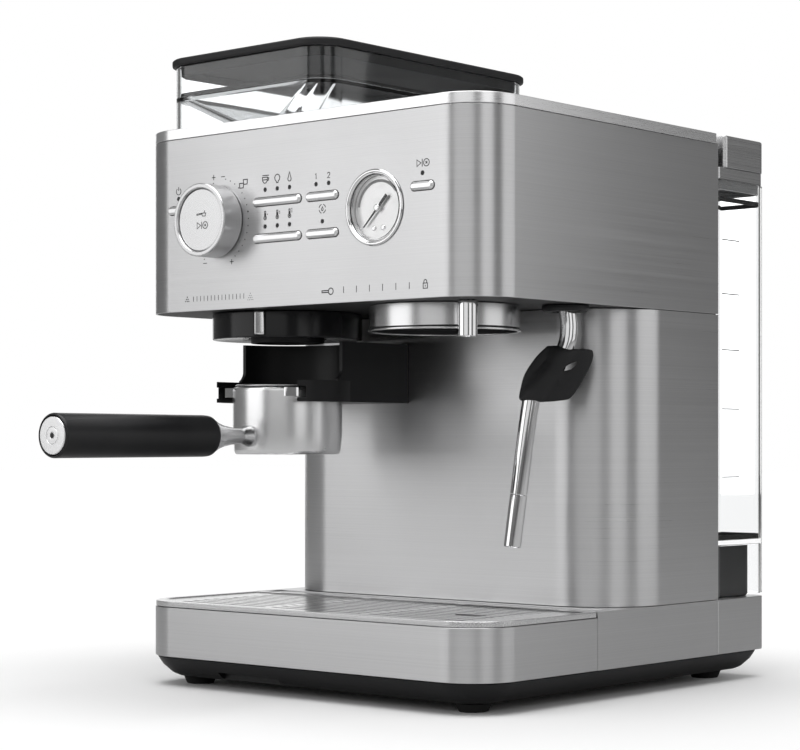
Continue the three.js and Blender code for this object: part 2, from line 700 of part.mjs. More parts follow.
function waterTank() {
  return cut(
    prism(tankOutline(0), tank.bottom, tank.top),
    prism(tankOutline(moulding), tank.floor + 3, tank.top + 1),
    prism(tankOutline(moulding), tank.bottom - 1, tank.floor),
    at(rod(5, tank.floor - 2, tank.floor + 5, 16), 60, 286),
  );
}
addPart('water_tank', waterTank(), clearPlastic);

function tankLid() {
  const topBar = prism(outline(-halfWidth + 0.2, halfWidth - 0.2, 263, totalDepth, 3, rearRadius), 348.8, 370.6);
  const ledgePlate = prism(tankOutline(0.6), tank.top + gap, 349);
  const plug = cut(prism(tankOutline(3.2), 334, tank.top + 1), prism(tankOutline(5.4), 333, 338.5));
  return join(topBar, ledgePlate, plug);
}
addPart('tank_lid', tankLid(), steel);

// One moulding closes the back of the column and head, and carries the seat that the tank stands on.
function rearMoulding() {
  const half = halfWidth - sheet - 0.5;
  const wall = box(-half, half, 250.6, 253.6, baseTop + gap, headTop - 0.4);
  const flange = box(-half + 6, half - 6, 252, 300, baseTop + gap, tank.bottom - 0.4);
  const seat = prism(outline(-140, 140, 258, 311, 4, 8), baseTop + gap, 91.5);
  return cut(join(wall, flange, seat), at(rod(9, 80, 95, 16), 60, 286));
}
addPart('rear_moulding', rearMoulding(), blackPlastic);

// ---------- Drip tray ----------

const fasciaTop = 52.7;
const trayRearHalf = 142.8;
const trayBack = columnFront - 3;

function trayFascia() {
  const outer = prism(outline(-halfWidth, halfWidth, 0, trayDepth, frontRadius, 0.6), baseBottom, fasciaTop);
  const inner = prism(
    outline(-halfWidth + sheet, halfWidth - sheet, sheet, trayDepth + 9, frontRadius - sheet, 0.6),
    baseBottom - 1, fasciaTop + 1,
  );
  return cut(outer, inner);
}
addPart('tray_fascia', trayFascia(), steel);

function trayPlan(inset) {
  const half = halfWidth - sheet - gap - inset;
  return [
    outline(-half, half, sheet + gap + inset, trayDepth - gap - inset * 0.2, frontRadius - 2 - inset, 0.6),
    outline(-trayRearHalf + inset, trayRearHalf - inset, 60, trayBack - inset, 0.6, 6),
  ];
}

function dripTray() {
  const [frontPart, rearPart] = trayPlan(0);
  const [frontHole, rearHole] = trayPlan(moulding);
  const z0 = baseBottom + 0.5;
  return cut(
    join(prism(frontPart, z0, fasciaTop), prism(rearPart, z0, fasciaTop)),
    prism(frontHole, z0 + moulding, 60), prism(rearHole, z0 + moulding, 60),
  );
}
addPart('drip_tray', dripTray(), blackPlastic);

const floatPlace = { x: 97, y: 54, width: 18, depth: 8 };
const gridTop = baseTop - 0.8;

// Six rows of three long slots run across the grid; one slot carries the float.
function dripGrid() {
  const rim = join(
    prism(outline(-halfWidth + 0.4, halfWidth - 0.4, 0.4, trayDepth - gap, frontRadius - 0.4, 0.6),
      fasciaTop + gap, baseTop),
    prism(outline(-trayRearHalf, trayRearHalf, 60, trayBack, 0.6, 6), fasciaTop + gap, baseTop),
  );
  const sunk = join(
    prism(outline(-halfWidth + 6, halfWidth - 6, 6, trayDepth - 6, frontRadius - 6, 0.6), gridTop, 60),
    prism(outline(-trayRearHalf + 6, trayRearHalf - 6, 60, trayBack - 4, 0.6, 4), gridTop, 60),
  );
  const under = prism(outline(-136, 136, 8, trayBack - 6, frontRadius - 10, 4), 50, fasciaTop + gap + 1.2);
  const slots = [];
  for (let row = 0; row < 6; row += 1) {
    for (let column = -1; column <= 1; column += 1) {
      const y = 22 + row * 19;
      const nearFloat = column === 1 && Math.abs(y - floatPlace.y) < 12;
      if (!nearFloat) slots.push(prism(outline(column * 84 - 38, column * 84 + 38, y - 3, y + 3, 3, 3, 2), 50, 60));
    }
  }
  const floatHole = prism(outline(
    floatPlace.x - 10, floatPlace.x + 10, floatPlace.y - 5, floatPlace.y + 5, 5, 5, 4,
  ), 50, 60);
  return cut(rim, sunk, under, floatHole, ...slots);
}
addPart('drip_grid', dripGrid(), brightSteel);

function trayFloat() {
  const halfX = floatPlace.width / 2;
  const halfY = floatPlace.depth / 2;
  return join(
    prism(outline(-halfX, halfX, -halfY, halfY, halfY, halfY, 4), 24, gridTop),
    prism(outline(-15, 15, -10, 10, 4), 23.6, 32),
  );
}
addPart('tray_float', trayFloat(), blackPlastic, [floatPlace.x, floatPlace.y, 0]);

export default machine;
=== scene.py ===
import math

import bmesh
import bpy
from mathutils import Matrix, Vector


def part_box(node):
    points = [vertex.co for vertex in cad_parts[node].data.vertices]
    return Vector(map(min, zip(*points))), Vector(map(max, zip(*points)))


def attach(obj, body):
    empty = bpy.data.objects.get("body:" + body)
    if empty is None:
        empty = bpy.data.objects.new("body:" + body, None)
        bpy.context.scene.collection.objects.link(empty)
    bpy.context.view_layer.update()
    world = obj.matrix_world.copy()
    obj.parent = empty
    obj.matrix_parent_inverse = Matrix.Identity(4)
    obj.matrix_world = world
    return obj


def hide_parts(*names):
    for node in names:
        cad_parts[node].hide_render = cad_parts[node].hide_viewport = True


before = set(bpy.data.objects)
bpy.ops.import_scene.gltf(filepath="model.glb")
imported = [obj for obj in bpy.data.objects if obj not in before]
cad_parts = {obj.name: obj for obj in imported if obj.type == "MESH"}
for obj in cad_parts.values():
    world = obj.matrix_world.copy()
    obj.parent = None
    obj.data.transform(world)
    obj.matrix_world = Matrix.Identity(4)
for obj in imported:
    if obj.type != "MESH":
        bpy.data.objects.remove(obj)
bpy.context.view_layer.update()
mm = 0.001
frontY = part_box("head_shell")[0].y  # the front panel's plane
print("frame loaded")

# Camera, at a worktop's level, looking at the front right corner

camera = {"place": (0.946, -1.0746, 0.1623), "turn": (90, 0, 41.079), "lens": 97.39, "shift": 0.0849}


def makeCamera():
    data = bpy.data.cameras.new("camera")
    data.lens = camera["lens"]
    data.sensor_width = 36
    data.shift_y = camera["shift"]
    obj = bpy.data.objects.new("camera", data)
    obj.location = camera["place"]
    obj.rotation_euler = [math.radians(a) for a in camera["turn"]]
    bpy.context.scene.collection.objects.link(obj)
    bpy.context.scene.camera = obj


makeCamera()

# Shapes. A solid is (points, faces) in millimetres, with y counted from the front panel.


def span(node):
    low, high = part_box(node)
    shift = Vector((0, frontY, 0))
    return (low - shift) / mm, (high - shift) / mm


def middle(node):
    low, high = span(node)
    return (low + high) / 2


def outline(low, high, frontR, backR=None, inset=0, steps=10):
    backR = frontR if backR is None else backR
    x0, x1, y0, y1 = low[0] + inset, high[0] - inset, low[1] + inset, high[1] - inset
    f, b = max(frontR - inset, 0.3), max(backR - inset, 0.3)
    corners = [(x1 - b, y1 - b, b, 0), (x0 + b, y1 - b, b, 90), (x0 + f, y0 + f, f, 180), (x1 - f, y0 + f, f, 270)]
    points = []
    for cx, cy, r, start in corners:
        for i in range(steps + 1):
            a = math.radians(start + 90 * i / steps)
            points.append((cx + r * math.cos(a), cy + r * math.sin(a)))
    return points


def uPath(low, high, radius, inset=0, steps=14):
    # from the back left corner round the front to the back right corner
    x0, x1, y0 = low[0] + inset, high[0] - inset, low[1] + inset
    r = radius - inset
    points = [(x0, high[1])]
    for cx, start in ((x0 + r, 180), (x1 - r, 270)):
        for i in range(steps + 1):
            a = math.radians(start + 90 * i / steps)
            points.append((cx + r * math.cos(a), y0 + r + r * math.sin(a)))
    return points + [(x1, high[1])]


def circle(cx, cy, r, count, start=0.0):
    angles = [start + 2 * math.pi * i / count for i in range(count)]
    return [(cx + r * math.cos(a), cy + r * math.sin(a)) for a in angles]


def eased(profile, radius, steps=3, closed=False):
    # rounds the corners of a line of (radius or inset, height) points
    result = []
    count = len(profile)
    for i, p in enumerate(profile):
        if not closed and i in (0, count - 1):
            result.append(p)
            continue
        here, before, after = Vector(p), Vector(profile[i - 1]), Vector(profile[(i + 1) % count])
        a, b = before - here, after - here
        if a.length < 1e-6 or b.length < 1e-6 or a.angle(b) > math.radians(165):
            result.append(p)
            continue
        start = here + a.normalized() * min(radius, a.length * 0.45)
        end = here + b.normalized() * min(radius, b.length * 0.45)
        for k in range(steps + 1):
            t = k / steps
            q = start * (1 - t) ** 2 + here * 2 * t * (1 - t) + end * t * t
            result.append((q.x, q.y))
    return result


def skin(rings, cyclic=False, caps=True):
    count = len(rings[0])
    points = [p for ring in rings for p in ring]
    faces = []
    for k in range(len(rings) if cyclic else len(rings) - 1):
        a, b = k * count, ((k + 1) % len(rings)) * count
        for i in range(count):
            j = (i + 1) % count
            faces.append((a + i, a + j, b + j, b + i))
    if caps and not cyclic:
        faces.append(tuple(range(count - 1, -1, -1)))
        faces.append(tuple(range((len(rings) - 1) * count, len(rings) * count)))
    return points, faces


def stack(shape, levels, cyclic=False):
    # shape(inset) gives an outline, and levels are its (inset, z) steps
    return skin([[(x, y, z) for x, y in shape(inset)] for inset, z in levels], cyclic)


def wall(path, profile):
    # a wall of the given (inset, z) section that follows an open path
    lines = [(path(inset), z) for inset, z in profile]
    return skin([[(line[i][0], line[i][1], z) for line, z in lines] for i in range(len(lines[0][0]))])


def lathe(profile, centre, axis="z", segments=96, closed=False):
    points, faces, starts = [], [], []
    for r, h in profile:
        starts.append((len(points), r < 1e-6))
        for i in range(1 if r < 1e-6 else segments):
            a = 2 * math.pi * i / segments
            c, s = r * math.cos(a), r * math.sin(a)
            points.append((centre[0] + c, centre[1] + s, h) if axis == "z" else (centre[0] + c, h, centre[1] + s))
    pairs = list(zip(starts, starts[1:])) + ([(starts[-1], starts[0])] if closed else [])
    for (a, aPole), (b, bPole) in pairs:
        for i in range(segments):
            j = (i + 1) % segments
            if aPole and not bPole:
                faces.append((a, b + j, b + i))
            elif bPole and not aPole:
                faces.append((a + i, a + j, b))
            elif not aPole:
                faces.append((a + i, a + j, b + j, b + i))
    return points, faces


def rod(cx, cy, r, z0, z1, segments=64):
    return skin([[(x, y, z) for x, y in circle(cx, cy, r, segments)] for z in (z0, z1)])


def rodY(cx, cz, r, y0, y1, segments=48):
    return skin([[(x, y, z) for x, z in circle(cx, cz, r, segments)] for y in (y0, y1)])


def block(x0, x1, y0, y1, z0, z1):
    ring = [(x0, y0), (x1, y0), (x1, y1), (x0, y1)]
    return skin([[(x, y, z) for x, y in ring] for z in (z0, z1)])


def pill(cx, cz, width, height, levels, steps=10):
    # a flat-sided capsule that runs along y through (inset, y) levels
    low, high = (cx - width / 2, cz - height / 2), (cx + width / 2, cz + height / 2)
    shape = lambda inset: outline(low, high, height / 2, inset=inset, steps=steps)
    return skin([[(x, y, z) for x, z in shape(inset)] for inset, y in levels])


def tube(path, radii, sides=32, rounds=()):
    # a round bar along a smooth line, carried without twist
    rings = []
    normal = Vector((0, 0, 1)).cross(path[1] - path[0])
    normal = (normal if normal.length > 1e-6 else Vector((1, 0, 0))).normalized()
    for i, p in enumerate(path):
        along = (path[min(i + 1, len(path) - 1)] - path[max(i - 1, 0)]).normalized()
        normal = (normal - along * normal.dot(along)).normalized()
        side = along.cross(normal)
        r = radii(i / (len(path) - 1)) if callable(radii) else radii
        rings.append([tuple(p + (normal * math.cos(a) + side * math.sin(a)) * r)
                      for a in (2 * math.pi * k / sides for k in range(sides))])
    return skin(rings)


def smoothLine(points, perSpan=8):
    # a Catmull-Rom line through the points
    p = [Vector(q) for q in points]
    p = [p[0] * 2 - p[1]] + p + [p[-1] * 2 - p[-2]]
    line = []
    for i in range(1, len(p) - 2):
        for k in range(perSpan):
            t = k / perSpan
            a, b, c, d = p[i - 1], p[i], p[i + 1], p[i + 2]
            line.append(0.5 * ((2 * b) + (c - a) * t + (2 * a - 5 * b + 4 * c - d) * t ** 2
                               + (3 * b - a - 3 * c + d) * t ** 3))
    return line + [p[-2]]


def merged(*solids):
    points, faces = [], []
    for solidPoints, solidFaces in solids:
        start = len(points)
        points += solidPoints
        faces += [tuple(i + start for i in face) for face in solidFaces]
    return points, faces


def rawObject(name, solid):
    mesh = bpy.data.meshes.new(name)
    mesh.from_pydata([(x * mm, frontY + y * mm, z * mm) for x, y, z in solid[0]], [], solid[1])
    bm = bmesh.new()
    bm.from_mesh(mesh)
    bmesh.ops.remove_doubles(bm, verts=bm.verts, dist=1e-7)
    bmesh.ops.recalc_face_normals(bm, faces=bm.faces)
    bm.to_mesh(mesh)
    bm.free()
    obj = bpy.data.objects.new(name, mesh)
    bpy.context.scene.collection.objects.link(obj)
    return obj


def bake(obj):
    # turns the object's modifiers into plain mesh
    bpy.context.view_layer.update()
    mesh = bpy.data.meshes.new_from_object(obj.evaluated_get(bpy.context.evaluated_depsgraph_get()))
    obj.modifiers.clear()
    obj.data = mesh
    return obj


def combine(obj, solids, operation="DIFFERENCE"):
    # cuts the solids out of the object one after another, or joins them to it
    tools = [rawObject(obj.name + "Tool", solid) for solid in solids]
    for tool in tools:
        modifier = obj.modifiers.new("combine", "BOOLEAN")
        modifier.operation = operation
        modifier.solver = "EXACT"
        modifier.object = tool
    bake(obj)
    for tool in tools:
        bpy.data.objects.remove(tool)
    return obj


def bevelled(obj, width, segments=2, angle=40):
    modifier = obj.modifiers.new("bevel", "BEVEL")
    modifier.width = width * mm
    modifier.segments = segments
    modifier.limit_method = "ANGLE"
    modifier.angle_limit = math.radians(angle)
    modifier.use_clamp_overlap = True
    return bake(obj)


def place(obj, body, material, stands=(), angle=32):
    obj.data.materials.clear()
    obj.data.materials.append(material)
    obj.data.shade_smooth()
    obj.data.set_sharp_from_angle(angle=math.radians(angle))
    even = obj.modifiers.new("even", "WEIGHTED_NORMAL")  # flat faces shade flat beside their rounded edges
    even.keep_sharp = True
    bake(obj)
    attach(obj, body)
    if stands:
        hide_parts(*stands)
    return obj


def piece(name, solid, body, material, stands=(), angle=32):
    return place(rawObject(name, solid), body, material, stands, angle)


# Finishes. The groups give masks and heights, and each material has its own shader.


def feed(tree, node, feeds):
    # a socket is linked to the named input, and anything else is set as its value
    for name, value in feeds.items():
        if isinstance(value, bpy.types.NodeSocket):
            tree.links.new(value, node.inputs[name])
        else:
            node.inputs[name].default_value = value


def addNode(tree, kind, feeds=None, **settings):
    node = tree.nodes.new(kind)
    for name, value in settings.items():
        setattr(node, name, value)
    feed(tree, node, feeds or {})
    return node


def newTree(name, kind, inputs, outputs):
    # inputs are (name, socket type, value), and outputs (name, socket type)
    tree = bpy.data.node_groups.new(name, kind)
    for label, socket, value in inputs:
        made = tree.interface.new_socket(name=label, in_out="INPUT", socket_type="NodeSocket" + socket)
        if value is not None:
            made.default_value = value
    for label, socket in outputs:
        tree.interface.new_socket(name=label, in_out="OUTPUT", socket_type="NodeSocket" + socket)
    return tree, tree.nodes.new("NodeGroupInput").outputs, tree.nodes.new("NodeGroupOutput").inputs


def makeBrushedGrain():
    # long scratches: the coordinates are squeezed along the brushing direction
    group, start, end = newTree(
        "brushedGrain", "ShaderNodeTree", [("Coordinates", "Vector", None), ("Stretch", "Vector", (4, 4, 900))],
        [("Grain", "Float"), ("Cloud", "Float")])
    scaled = addNode(group, "ShaderNodeVectorMath", {0: start["Coordinates"], 1: start["Stretch"]},
                     operation="MULTIPLY")
    fine = addNode(group, "ShaderNodeTexNoise",
                   {"Vector": scaled.outputs[0], "Scale": 1, "Detail": 4, "Roughness": 0.65})
    cloud = addNode(group, "ShaderNodeTexNoise", {"Vector": start["Coordinates"], "Scale": 9, "Detail": 2})
    group.links.new(fine.outputs["Fac"], end["Grain"])
    group.links.new(cloud.outputs["Fac"], end["Cloud"])
    return group


def makeTurnedGrain():
    # fine rings about an axis through the centred coordinates, along y
    group, start, end = newTree(
        "turnedGrain", "ShaderNodeTree", [("Coordinates", "Vector", None), ("Pitch", "Float", 4000.0)],
        [("Grain", "Float")])
    flat = addNode(group, "ShaderNodeVectorMath", {0: start["Coordinates"], 1: (1, 0, 1)}, operation="MULTIPLY")
    length = addNode(group, "ShaderNodeVectorMath", {0: flat.outputs[0]}, operation="LENGTH")
    scaled = addNode(group, "ShaderNodeMath", {0: length.outputs["Value"], 1: start["Pitch"]},
                     operation="MULTIPLY")
    noise = addNode(group, "ShaderNodeTexNoise", {"W": scaled.outputs[0], "Scale": 1, "Detail": 3},
                    noise_dimensions="1D")
    group.links.new(noise.outputs["Fac"], end["Grain"])
    return group


def makeMouldedSkin():
    # the fine pebble of a spark-eroded mould, with faint handling marks
    group, start, end = newTree(
        "mouldedSkin", "ShaderNodeTree",
        [("Coordinates", "Vector", None), ("Pebble", "Float", 1800.0), ("Marks", "Float", 22.0)],
        [("Height", "Float"), ("Marks", "Float")])
    pebble = addNode(group, "ShaderNodeTexVoronoi", {"Vector": start["Coordinates"], "Scale": start["Pebble"]})
    marks = addNode(group, "ShaderNodeTexNoise",
                    {"Vector": start["Coordinates"], "Scale": start["Marks"], "Detail": 4})
    group.links.new(pebble.outputs["Distance"], end["Height"])
    group.links.new(marks.outputs["Fac"], end["Marks"])
    return group


brushedGrain = makeBrushedGrain()
turnedGrain = makeTurnedGrain()
mouldedSkin = makeMouldedSkin()


def startMaterial(name):
    material = bpy.data.materials.new(name)
    material.use_nodes = True
    tree = material.node_tree
    coordinates = addNode(tree, "ShaderNodeTexCoord").outputs["Object"]
    return material, tree, tree.nodes["Principled BSDF"], coordinates


def ranged(tree, source, low, high):
    # spreads the middle of a noise over low to high
    return addNode(tree, "ShaderNodeMapRange", {
        "Value": source, "From Min": 0.3, "From Max": 0.7, "To Min": low, "To Max": high}).outputs["Result"]


def tinted(tree, source, look):
    return addNode(tree, "ShaderNodeMix", {
        "Factor": ranged(tree, source, 0, 1), "A": (*look["dark"], 1), "B": (*look["light"], 1)},
        data_type="RGBA").outputs["Result"]


def bumped(tree, source, strength, distance):
    return addNode(tree, "ShaderNodeBump", {
        "Height": source, "Strength": strength, "Distance": distance}).outputs["Normal"]


def brushedMetal(name, look):
    material, tree, shader, coordinates = startMaterial(name)
    grain = addNode(tree, "ShaderNodeGroup", {"Coordinates": coordinates, "Stretch": look["stretch"]},
                    node_tree=brushedGrain).outputs
    rough = addNode(tree, "ShaderNodeMath", {
        0: ranged(tree, grain["Grain"], look["rough"] - 0.05, look["rough"] + 0.05),
        1: ranged(tree, grain["Cloud"], -0.02, 0.02)}, operation="ADD")
    feed(tree, shader, {
        "Base Color": tinted(tree, grain["Grain"], look), "Roughness": rough.outputs[0], "Metallic": 1,
        "Normal": bumped(tree, grain["Grain"], look["bump"], 0.00004)})
    if "sheen" in look:  # highlights spread across the grain, up and down the wall
        around = addNode(tree, "ShaderNodeTangent", direction_type="RADIAL", axis="Z")
        feed(tree, shader, {
            "Tangent": around.outputs["Tangent"], "Anisotropic": look["sheen"], "Anisotropic Rotation": 0.25})
    return material


def turnedMetal(name, look):
    material, tree, shader, coordinates = startMaterial(name)
    centred = addNode(tree, "ShaderNodeMapping", {"Vector": coordinates, "Location": [-c for c in look["centre"]]})
    grain = addNode(tree, "ShaderNodeGroup", {"Coordinates": centred.outputs["Vector"], "Pitch": look["pitch"]},
                    node_tree=turnedGrain).outputs["Grain"]
    feed(tree, shader, {
        "Base Color": tinted(tree, grain, look), "Metallic": 1,
        "Roughness": ranged(tree, grain, look["rough"] - 0.05, look["rough"] + 0.05),
        "Normal": bumped(tree, grain, look["bump"], 0.00003)})
    return material


def mouldedSurface(tree, coordinates, pebble, marks=22.0):
    return addNode(tree, "ShaderNodeGroup", {"Coordinates": coordinates, "Pebble": pebble, "Marks": marks},
                   node_tree=mouldedSkin).outputs


def plastic(name, look):
    material, tree, shader, coordinates = startMaterial(name)
    surface = mouldedSurface(tree, coordinates, look["pebble"])
    feed(tree, shader, {
        "Base Color": tinted(tree, surface["Marks"], look), "Specular IOR Level": 0.3,
        "Roughness": ranged(tree, surface["Marks"], look["rough"] - 0.04, look["rough"] + 0.05),
        "Normal": bumped(tree, surface["Height"], look["bump"], 0.00006)})
    return material


def polishedMetal(name, look):
    material, tree, shader, coordinates = startMaterial(name)
    marks = mouldedSurface(tree, coordinates, 300.0, look["marks"])["Marks"]
    feed(tree, shader, {
        "Base Color": tinted(tree, marks, look), "Metallic": 1,
        "Roughness": ranged(tree, marks, look["rough"] - 0.015, look["rough"] + 0.025)})
    return material


def clearMoulding(name, look):
    material, tree, shader, coordinates = startMaterial(name)
    marks = mouldedSurface(tree, coordinates, 200.0, look["marks"])["Marks"]
    feed(tree, shader, {
        "Base Color": (*look["tint"], 1), "Transmission Weight": 1, "IOR": look["ior"],
        "Roughness": ranged(tree, marks, look["rough"] - 0.01, look["rough"] + 0.03)})
    return material


knobCentre = middle("knob_ring") * mm + Vector((0, frontY, 0))
gaugeCentre = middle("gauge_body") * mm + Vector((0, frontY, 0))

finish = {
    "panel": brushedMetal("brushedPanel", {
        "stretch": (3, 3, 2600), "dark": (0.585, 0.585, 0.59), "light": (0.655, 0.655, 0.66), "rough": 0.34,
        "bump": 0.1, "sheen": 0.75}),
    "trim": brushedMetal("satinTrim", {
        "stretch": (4, 60, 2600), "dark": (0.9, 0.9, 0.905), "light": (0.96, 0.96, 0.965), "rough": 0.3,
        "bump": 0.03, "sheen": 0.5}),
    "grid": brushedMetal("satinGrid", {
        "stretch": (6, 1400, 1400), "dark": (0.68, 0.68, 0.685), "light": (0.74, 0.74, 0.745), "rough": 0.24,
        "bump": 0.02}),
    "lidSteel": brushedMetal("brushedLid", {
        "stretch": (3, 3, 2600), "dark": (0.58, 0.58, 0.585), "light": (0.66, 0.66, 0.665), "rough": 0.3,
        "bump": 0.1, "sheen": 0.6}),
    "group": polishedMetal("satinGroup", {
        "dark": (0.68, 0.68, 0.685), "light": (0.74, 0.74, 0.745), "rough": 0.24, "marks": 26.0}),
    "knob": turnedMetal("turnedKnob", {
        "centre": knobCentre, "pitch": 5000.0, "dark": (0.6, 0.6, 0.605), "light": (0.7, 0.7, 0.705),
        "rough": 0.28, "bump": 0.06}),
    "gauge": turnedMetal("turnedBezel", {
        "centre": gaugeCentre, "pitch": 6000.0, "dark": (0.7, 0.7, 0.705), "light": (0.8, 0.8, 0.805),
        "rough": 0.14, "bump": 0.05}),
    "button": brushedMetal("satinButton", {
        "stretch": (30, 900, 900), "dark": (0.82, 0.82, 0.825), "light": (0.9, 0.9, 0.905), "rough": 0.32,
        "bump": 0.05}),
    "polished": polishedMetal("polishedSteel", {
        "dark": (0.74, 0.74, 0.745), "light": (0.84, 0.84, 0.845), "rough": 0.06, "marks": 30.0}),
    "satinCup": polishedMetal("satinCup", {
        "dark": (0.84, 0.84, 0.845), "light": (0.9, 0.9, 0.905), "rough": 0.26, "marks": 26.0}),
    "neck": polishedMetal("satinNeck", {
        "dark": (0.6, 0.6, 0.605), "light": (0.7, 0.7, 0.705), "rough": 0.24, "marks": 60.0}),
    "basket": brushedMetal("pressedBasket", {
        "stretch": (20, 20, 900), "dark": (0.5, 0.5, 0.505), "light": (0.62, 0.62, 0.625), "rough": 0.25,
        "bump": 0.1}),
    "black": plastic("blackMoulding", {
        "dark": (0.008, 0.008, 0.009), "light": (0.013, 0.013, 0.014), "rough": 0.4, "pebble": 1900.0, "bump": 0.12}),
    "lid": plastic("hopperLidBlack", {
        "dark": (0.01, 0.01, 0.011), "light": (0.017, 0.017, 0.018), "rough": 0.5, "pebble": 1700.0, "bump": 0.2}),
    "underside": plastic("undersideGrey", {
        "dark": (0.02, 0.02, 0.021), "light": (0.034, 0.034, 0.035), "rough": 0.5, "pebble": 1500.0, "bump": 0.2}),
    "blackGloss": plastic("blackGloss", {
        "dark": (0.008, 0.008, 0.009), "light": (0.013, 0.013, 0.014), "rough": 0.16, "pebble": 400.0, "bump": 0.02}),
    "handle": plastic("satinHandle", {
        "dark": (0.012, 0.012, 0.013), "light": (0.02, 0.02, 0.021), "rough": 0.34, "pebble": 2600.0, "bump": 0.12}),
    "silicone": plastic("blackSilicone", {
        "dark": (0.012, 0.012, 0.013), "light": (0.021, 0.021, 0.022), "rough": 0.55, "pebble": 2400.0,
        "bump": 0.15}),
    "rubber": plastic("footRubber", {
        "dark": (0.01, 0.01, 0.01), "light": (0.02, 0.02, 0.02), "rough": 0.75, "pebble": 1500.0, "bump": 0.4}),
    "seal": plastic("sealRubber", {
        "dark": (0.008, 0.008, 0.008), "light": (0.015, 0.015, 0.015), "rough": 0.6, "pebble": 2200.0, "bump": 0.2}),
    "ink": plastic("panelInk", {
        "dark": (0.02, 0.02, 0.021), "light": (0.032, 0.032, 0.033), "rough": 0.55, "pebble": 900.0, "bump": 0.05}),
    # dark smoked lens for the lamps; the basket's painted hole shade uses it too
    "lens": plastic("smokedLensAndHoleShade", {
        "dark": (0.012, 0.012, 0.013), "light": (0.02, 0.02, 0.021), "rough": 0.2, "pebble": 600.0, "bump": 0.05}),
    "dial": brushedMetal("dialFace", {
        "stretch": (300, 300, 300), "dark": (0.8, 0.8, 0.8), "light": (0.86, 0.86, 0.86), "rough": 0.4,
        "bump": 0.01}),
    "dialBand": plastic("dialBand", {
        "dark": (0.3, 0.3, 0.305), "light": (0.38, 0.38, 0.385), "rough": 0.5, "pebble": 3000.0, "bump": 0.03}),
    "machinery": plastic("greyMachinery", {
        "dark": (0.11, 0.11, 0.115), "light": (0.19, 0.19, 0.195), "rough": 0.6, "pebble": 900.0, "bump": 0.3}),
    "burr": brushedMetal("groundBurr", {
        "stretch": (200, 200, 60), "dark": (0.36, 0.36, 0.365), "light": (0.55, 0.55, 0.555), "rough": 0.3,
        "bump": 0.3}),
    "boiler": plastic("castHeater", {
        "dark": (0.34, 0.34, 0.345), "light": (0.48, 0.48, 0.485), "rough": 0.5, "pebble": 700.0, "bump": 0.5}),
    "brass": brushedMetal("pumpBrass", {
        "stretch": (300, 20, 20), "dark": (0.5, 0.36, 0.14), "light": (0.66, 0.5, 0.22), "rough": 0.3,
        "bump": 0.2}),
    "clear": clearMoulding("clearMoulding", {"tint": (0.9, 0.91, 0.915), "rough": 0.015, "ior": 1.45, "marks": 14.0}),
    "tank": clearMoulding("clearTank", {"tint": (0.985, 0.99, 0.992), "rough": 0.01, "ior": 1.2, "marks": 14.0}),
    "glass": clearMoulding("gaugeGlass", {"tint": (0.99, 0.99, 0.99), "rough": 0.01, "ior": 1.3, "marks": 40.0}),
}
print("finishes made")

# Layouts. A node tree sets out what repeats, and its named inputs hold the sizes.


def painted(tree, geometry, material):
    real = addNode(tree, "GeometryNodeRealizeInstances", {"Geometry": geometry})
    return addNode(tree, "GeometryNodeSetMaterial", {
        "Geometry": real.outputs["Geometry"], "Material": material}).outputs["Geometry"]


def onPoints(tree, points, shape):
    return addNode(tree, "GeometryNodeInstanceOnPoints", {
        "Points": points, "Instance": shape}).outputs["Instances"]


def runTree(obj, tree, sizes):
    modifier = obj.modifiers.new("layout", "NODES")
    modifier.node_group = tree
    sockets = {item.name: item.identifier for item in tree.interface.items_tree if item.in_out == "INPUT"}
    for label, size in sizes.items():
        modifier[sockets[label]] = size
    return bake(obj)


def laidOut(name, tree, sizes, where, body):
    # an object made by its tree alone, moved to its place
    obj = bpy.data.objects.new(name, bpy.data.meshes.new(name))
    bpy.context.scene.collection.objects.link(obj)
    runTree(obj, tree, sizes)
    for vertex in obj.data.vertices:
        vertex.co += Vector(where)
    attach(obj, body)


# Housing

shellWall = 1.2


def sheetSection(z0, z1, thickness=shellWall, ease=0.45):
    return eased([(0, z0), (0, z1), (thickness, z1), (thickness, z0)], ease, closed=True)


buttonNodes = ["power_button", "mode_button", "temperature_button", "shot_button", "clean_button", "steam_button"]
buttonLook = {"slotGap": 0.45}
lampLook = {"hole": 1.5}
lampRow = {"upper": 324, "lower": 300.5, "pitch": 10.8}


def lampPlaces():
    # one lamp over the single buttons, two over the shot button, three over the wide ones
    places = []
    for node, count, row in (("power_button", 1, "upper"), ("mode_button", 3, "upper"),
                             ("temperature_button", 3, "lower"), ("shot_button", 2, "upper"),
                             ("clean_button", 1, "lower"), ("steam_button", 1, "upper")):
        x = middle(node).x
        places += [(x + (i - (count - 1) / 2) * lampRow["pitch"], lampRow[row]) for i in range(count)]
    return places


def makeHeadShell():
    low, high = span("head_shell")
    knob, gauge = middle("knob_ring"), middle("gauge_body")
    path = lambda inset: uPath(low, high, 33, inset, steps=24)
    obj = rawObject("headShell", wall(path, sheetSection(low.z, high.z)))
    slots = []
    for node in buttonNodes:
        a, b = span(node)
        gap = buttonLook["slotGap"]
        slots.append(pill((a.x + b.x) / 2, (a.z + b.z) / 2, b.x - a.x + 2 * gap, b.z - a.z + 2 * gap,
                          [(0, -3), (0, 3)]))
    holes = [rodY(x, z, lampLook["hole"], -3, 3, 20) for x, z in lampPlaces()]
    rounds = [rodY(knob.x, knob.z, 9, -3, 3), rodY(gauge.x, gauge.z, 21.3, -3, 3, 72)]
    combine(obj, [merged(*slots, *holes, *rounds)])
    place(obj, "machine", finish["panel"], ["head_shell"])


def makeColumn():
    low, high = span("column_shell")
    path = lambda inset: uPath(low, high, 50, inset, steps=28)
    piece("columnShell", wall(path, sheetSection(low.z, high.z)), "machine", finish["panel"],
          ["column_shell"])


